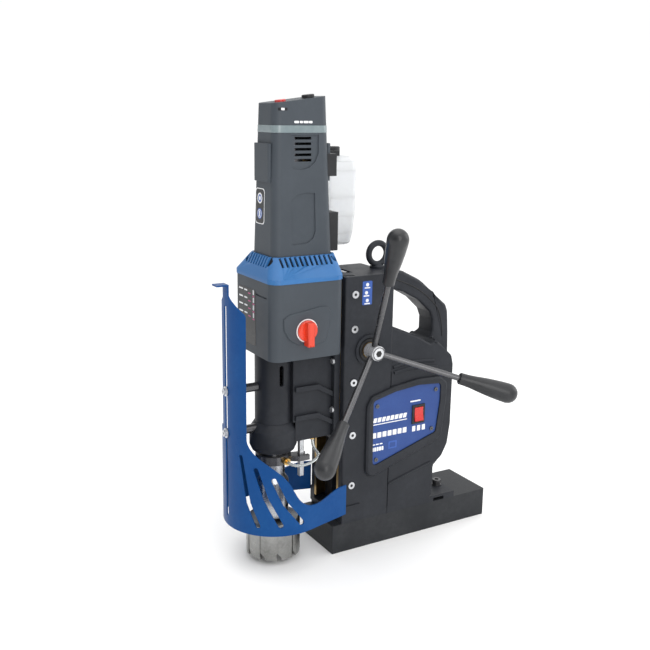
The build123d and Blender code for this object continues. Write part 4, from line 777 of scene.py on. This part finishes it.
# ribs on the housing's sides, and dark lines painted as the shade in the handle's grooves: along and up in
# millimetres, side -1 is the left
handleLine = ((-26, 376.5), (4, 366.0), (34, 345.5), (57, 321.0), (60, 286.0))
ribsAndGrooveShades = {
    # two black tubes along the handle, painted shade for its grooves on both sides
    "handleGrooveShadeRight": {"points": handleLine, "radius": 0.8, "slot": "black_resin"},
    "handleGrooveShadeLeft": {"points": handleLine, "radius": 0.8, "slot": "black_resin", "side": -1},
    "upperRib": {"points": ((-40, 257.6), (-20, 261.0), (4, 262.0), (30, 258.5)), "radius": 2.3},
    "lowerRib": {"points": ((-40, 250.6), (-18, 253.6), (8, 253.8), (34, 249.5)), "radius": 2.3},
    "lowCrease": {"points": ((-43, 87.5), (-15, 95.0), (8, 101.0), (29, 106.5)), "radius": 1.6},
}


def makeRibsAndGrooveShades():
    for name, look in ribsAndGrooveShades.items():
        side = look.get("side", 1)
        line = bpy.data.curves.new(name, "CURVE")
        line.dimensions = "3D"
        line.bevel_depth = look["radius"] / 1000
        line.bevel_resolution = 4
        line.resolution_u = 12
        line.use_fill_caps = True
        run = line.splines.new("NURBS")
        run.points.add(len(look["points"]) - 1)
        for point, (y, z) in zip(run.points, look["points"]):
            start = (rightSide * side, y / 1000, z / 1000)
            hit = surfaceAt("rear_housing", start, (-side, 0, 0)).translation
            point.co = (*hit, 1)
        run.order_u = 3
        run.use_endpoint_u = True
        item = bpy.data.objects.new(name, line)
        mesh = bpy.data.meshes.new_from_object(item)
        bpy.data.objects.remove(item)
        bm = bmesh.new()
        bm.from_mesh(mesh)
        bmesh.ops.remove_doubles(bm, verts=bm.verts, dist=0.00001)
        bmesh.ops.recalc_face_normals(bm, faces=bm.faces)
        addPiece(bm, name, "stand", look.get("slot", "cast_black"), 50)


# blown bottle: at each height, how much of the widest section is left
bottle = {"corner": 0.012, "segments": 5, "smooth": 2,
          "levels": ((0.0, 0.66), (0.04, 0.80), (0.15, 0.90), (0.34, 0.98), (0.55, 1.0), (0.84, 1.0),
                     (0.94, 0.92), (0.985, 0.72), (1.0, 0.60))}


def makeBottle():
    low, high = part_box("coolant_bottle")
    size = high - low
    bm = bmesh.new()
    bmesh.ops.create_grid(bm, x_segments=1, y_segments=1, size=0.5)
    bmesh.ops.scale(bm, vec=(size.x, size.y, 1), verts=bm.verts)
    bmesh.ops.bevel(bm, geom=bm.verts[:], affect="VERTICES", offset=bottle["corner"], offset_type="OFFSET",
                    segments=bottle["segments"], profile=0.5, material=-1)
    lowest, share = bottle["levels"][0]
    bmesh.ops.scale(bm, vec=(share, share, 1), verts=bm.verts)
    top = next(iter(bm.faces))
    for height, nextShare in bottle["levels"][1:]:
        grown = bmesh.ops.extrude_face_region(bm, geom=[top], use_keep_orig=lowest == 0)
        verts = [g for g in grown["geom"] if isinstance(g, bmesh.types.BMVert)]
        bmesh.ops.scale(bm, vec=(nextShare / share, nextShare / share, 1), verts=verts)
        bmesh.ops.translate(bm, vec=(0, 0, (height - lowest) * size.z), verts=verts)
        top = next(g for g in grown["geom"] if isinstance(g, bmesh.types.BMFace))
        lowest, share = height, nextShare
    bmesh.ops.recalc_face_normals(bm, faces=bm.faces)
    bmesh.ops.translate(bm, vec=((low.x + high.x) / 2, (low.y + high.y) / 2, low.z), verts=bm.verts)
    piece = addPiece(bm, "coolantBottle", "carriage", "bottle_white", 70)
    smooth = piece.modifiers.new("blownShape", "SUBSURF")
    smooth.levels = bottle["smooth"]
    smooth.render_levels = bottle["smooth"]
    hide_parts("coolant_bottle")


makeHubAndSocketShades()
makeRibsAndGrooveShades()
makeBottle()
print("hub, ribs and bottle made")
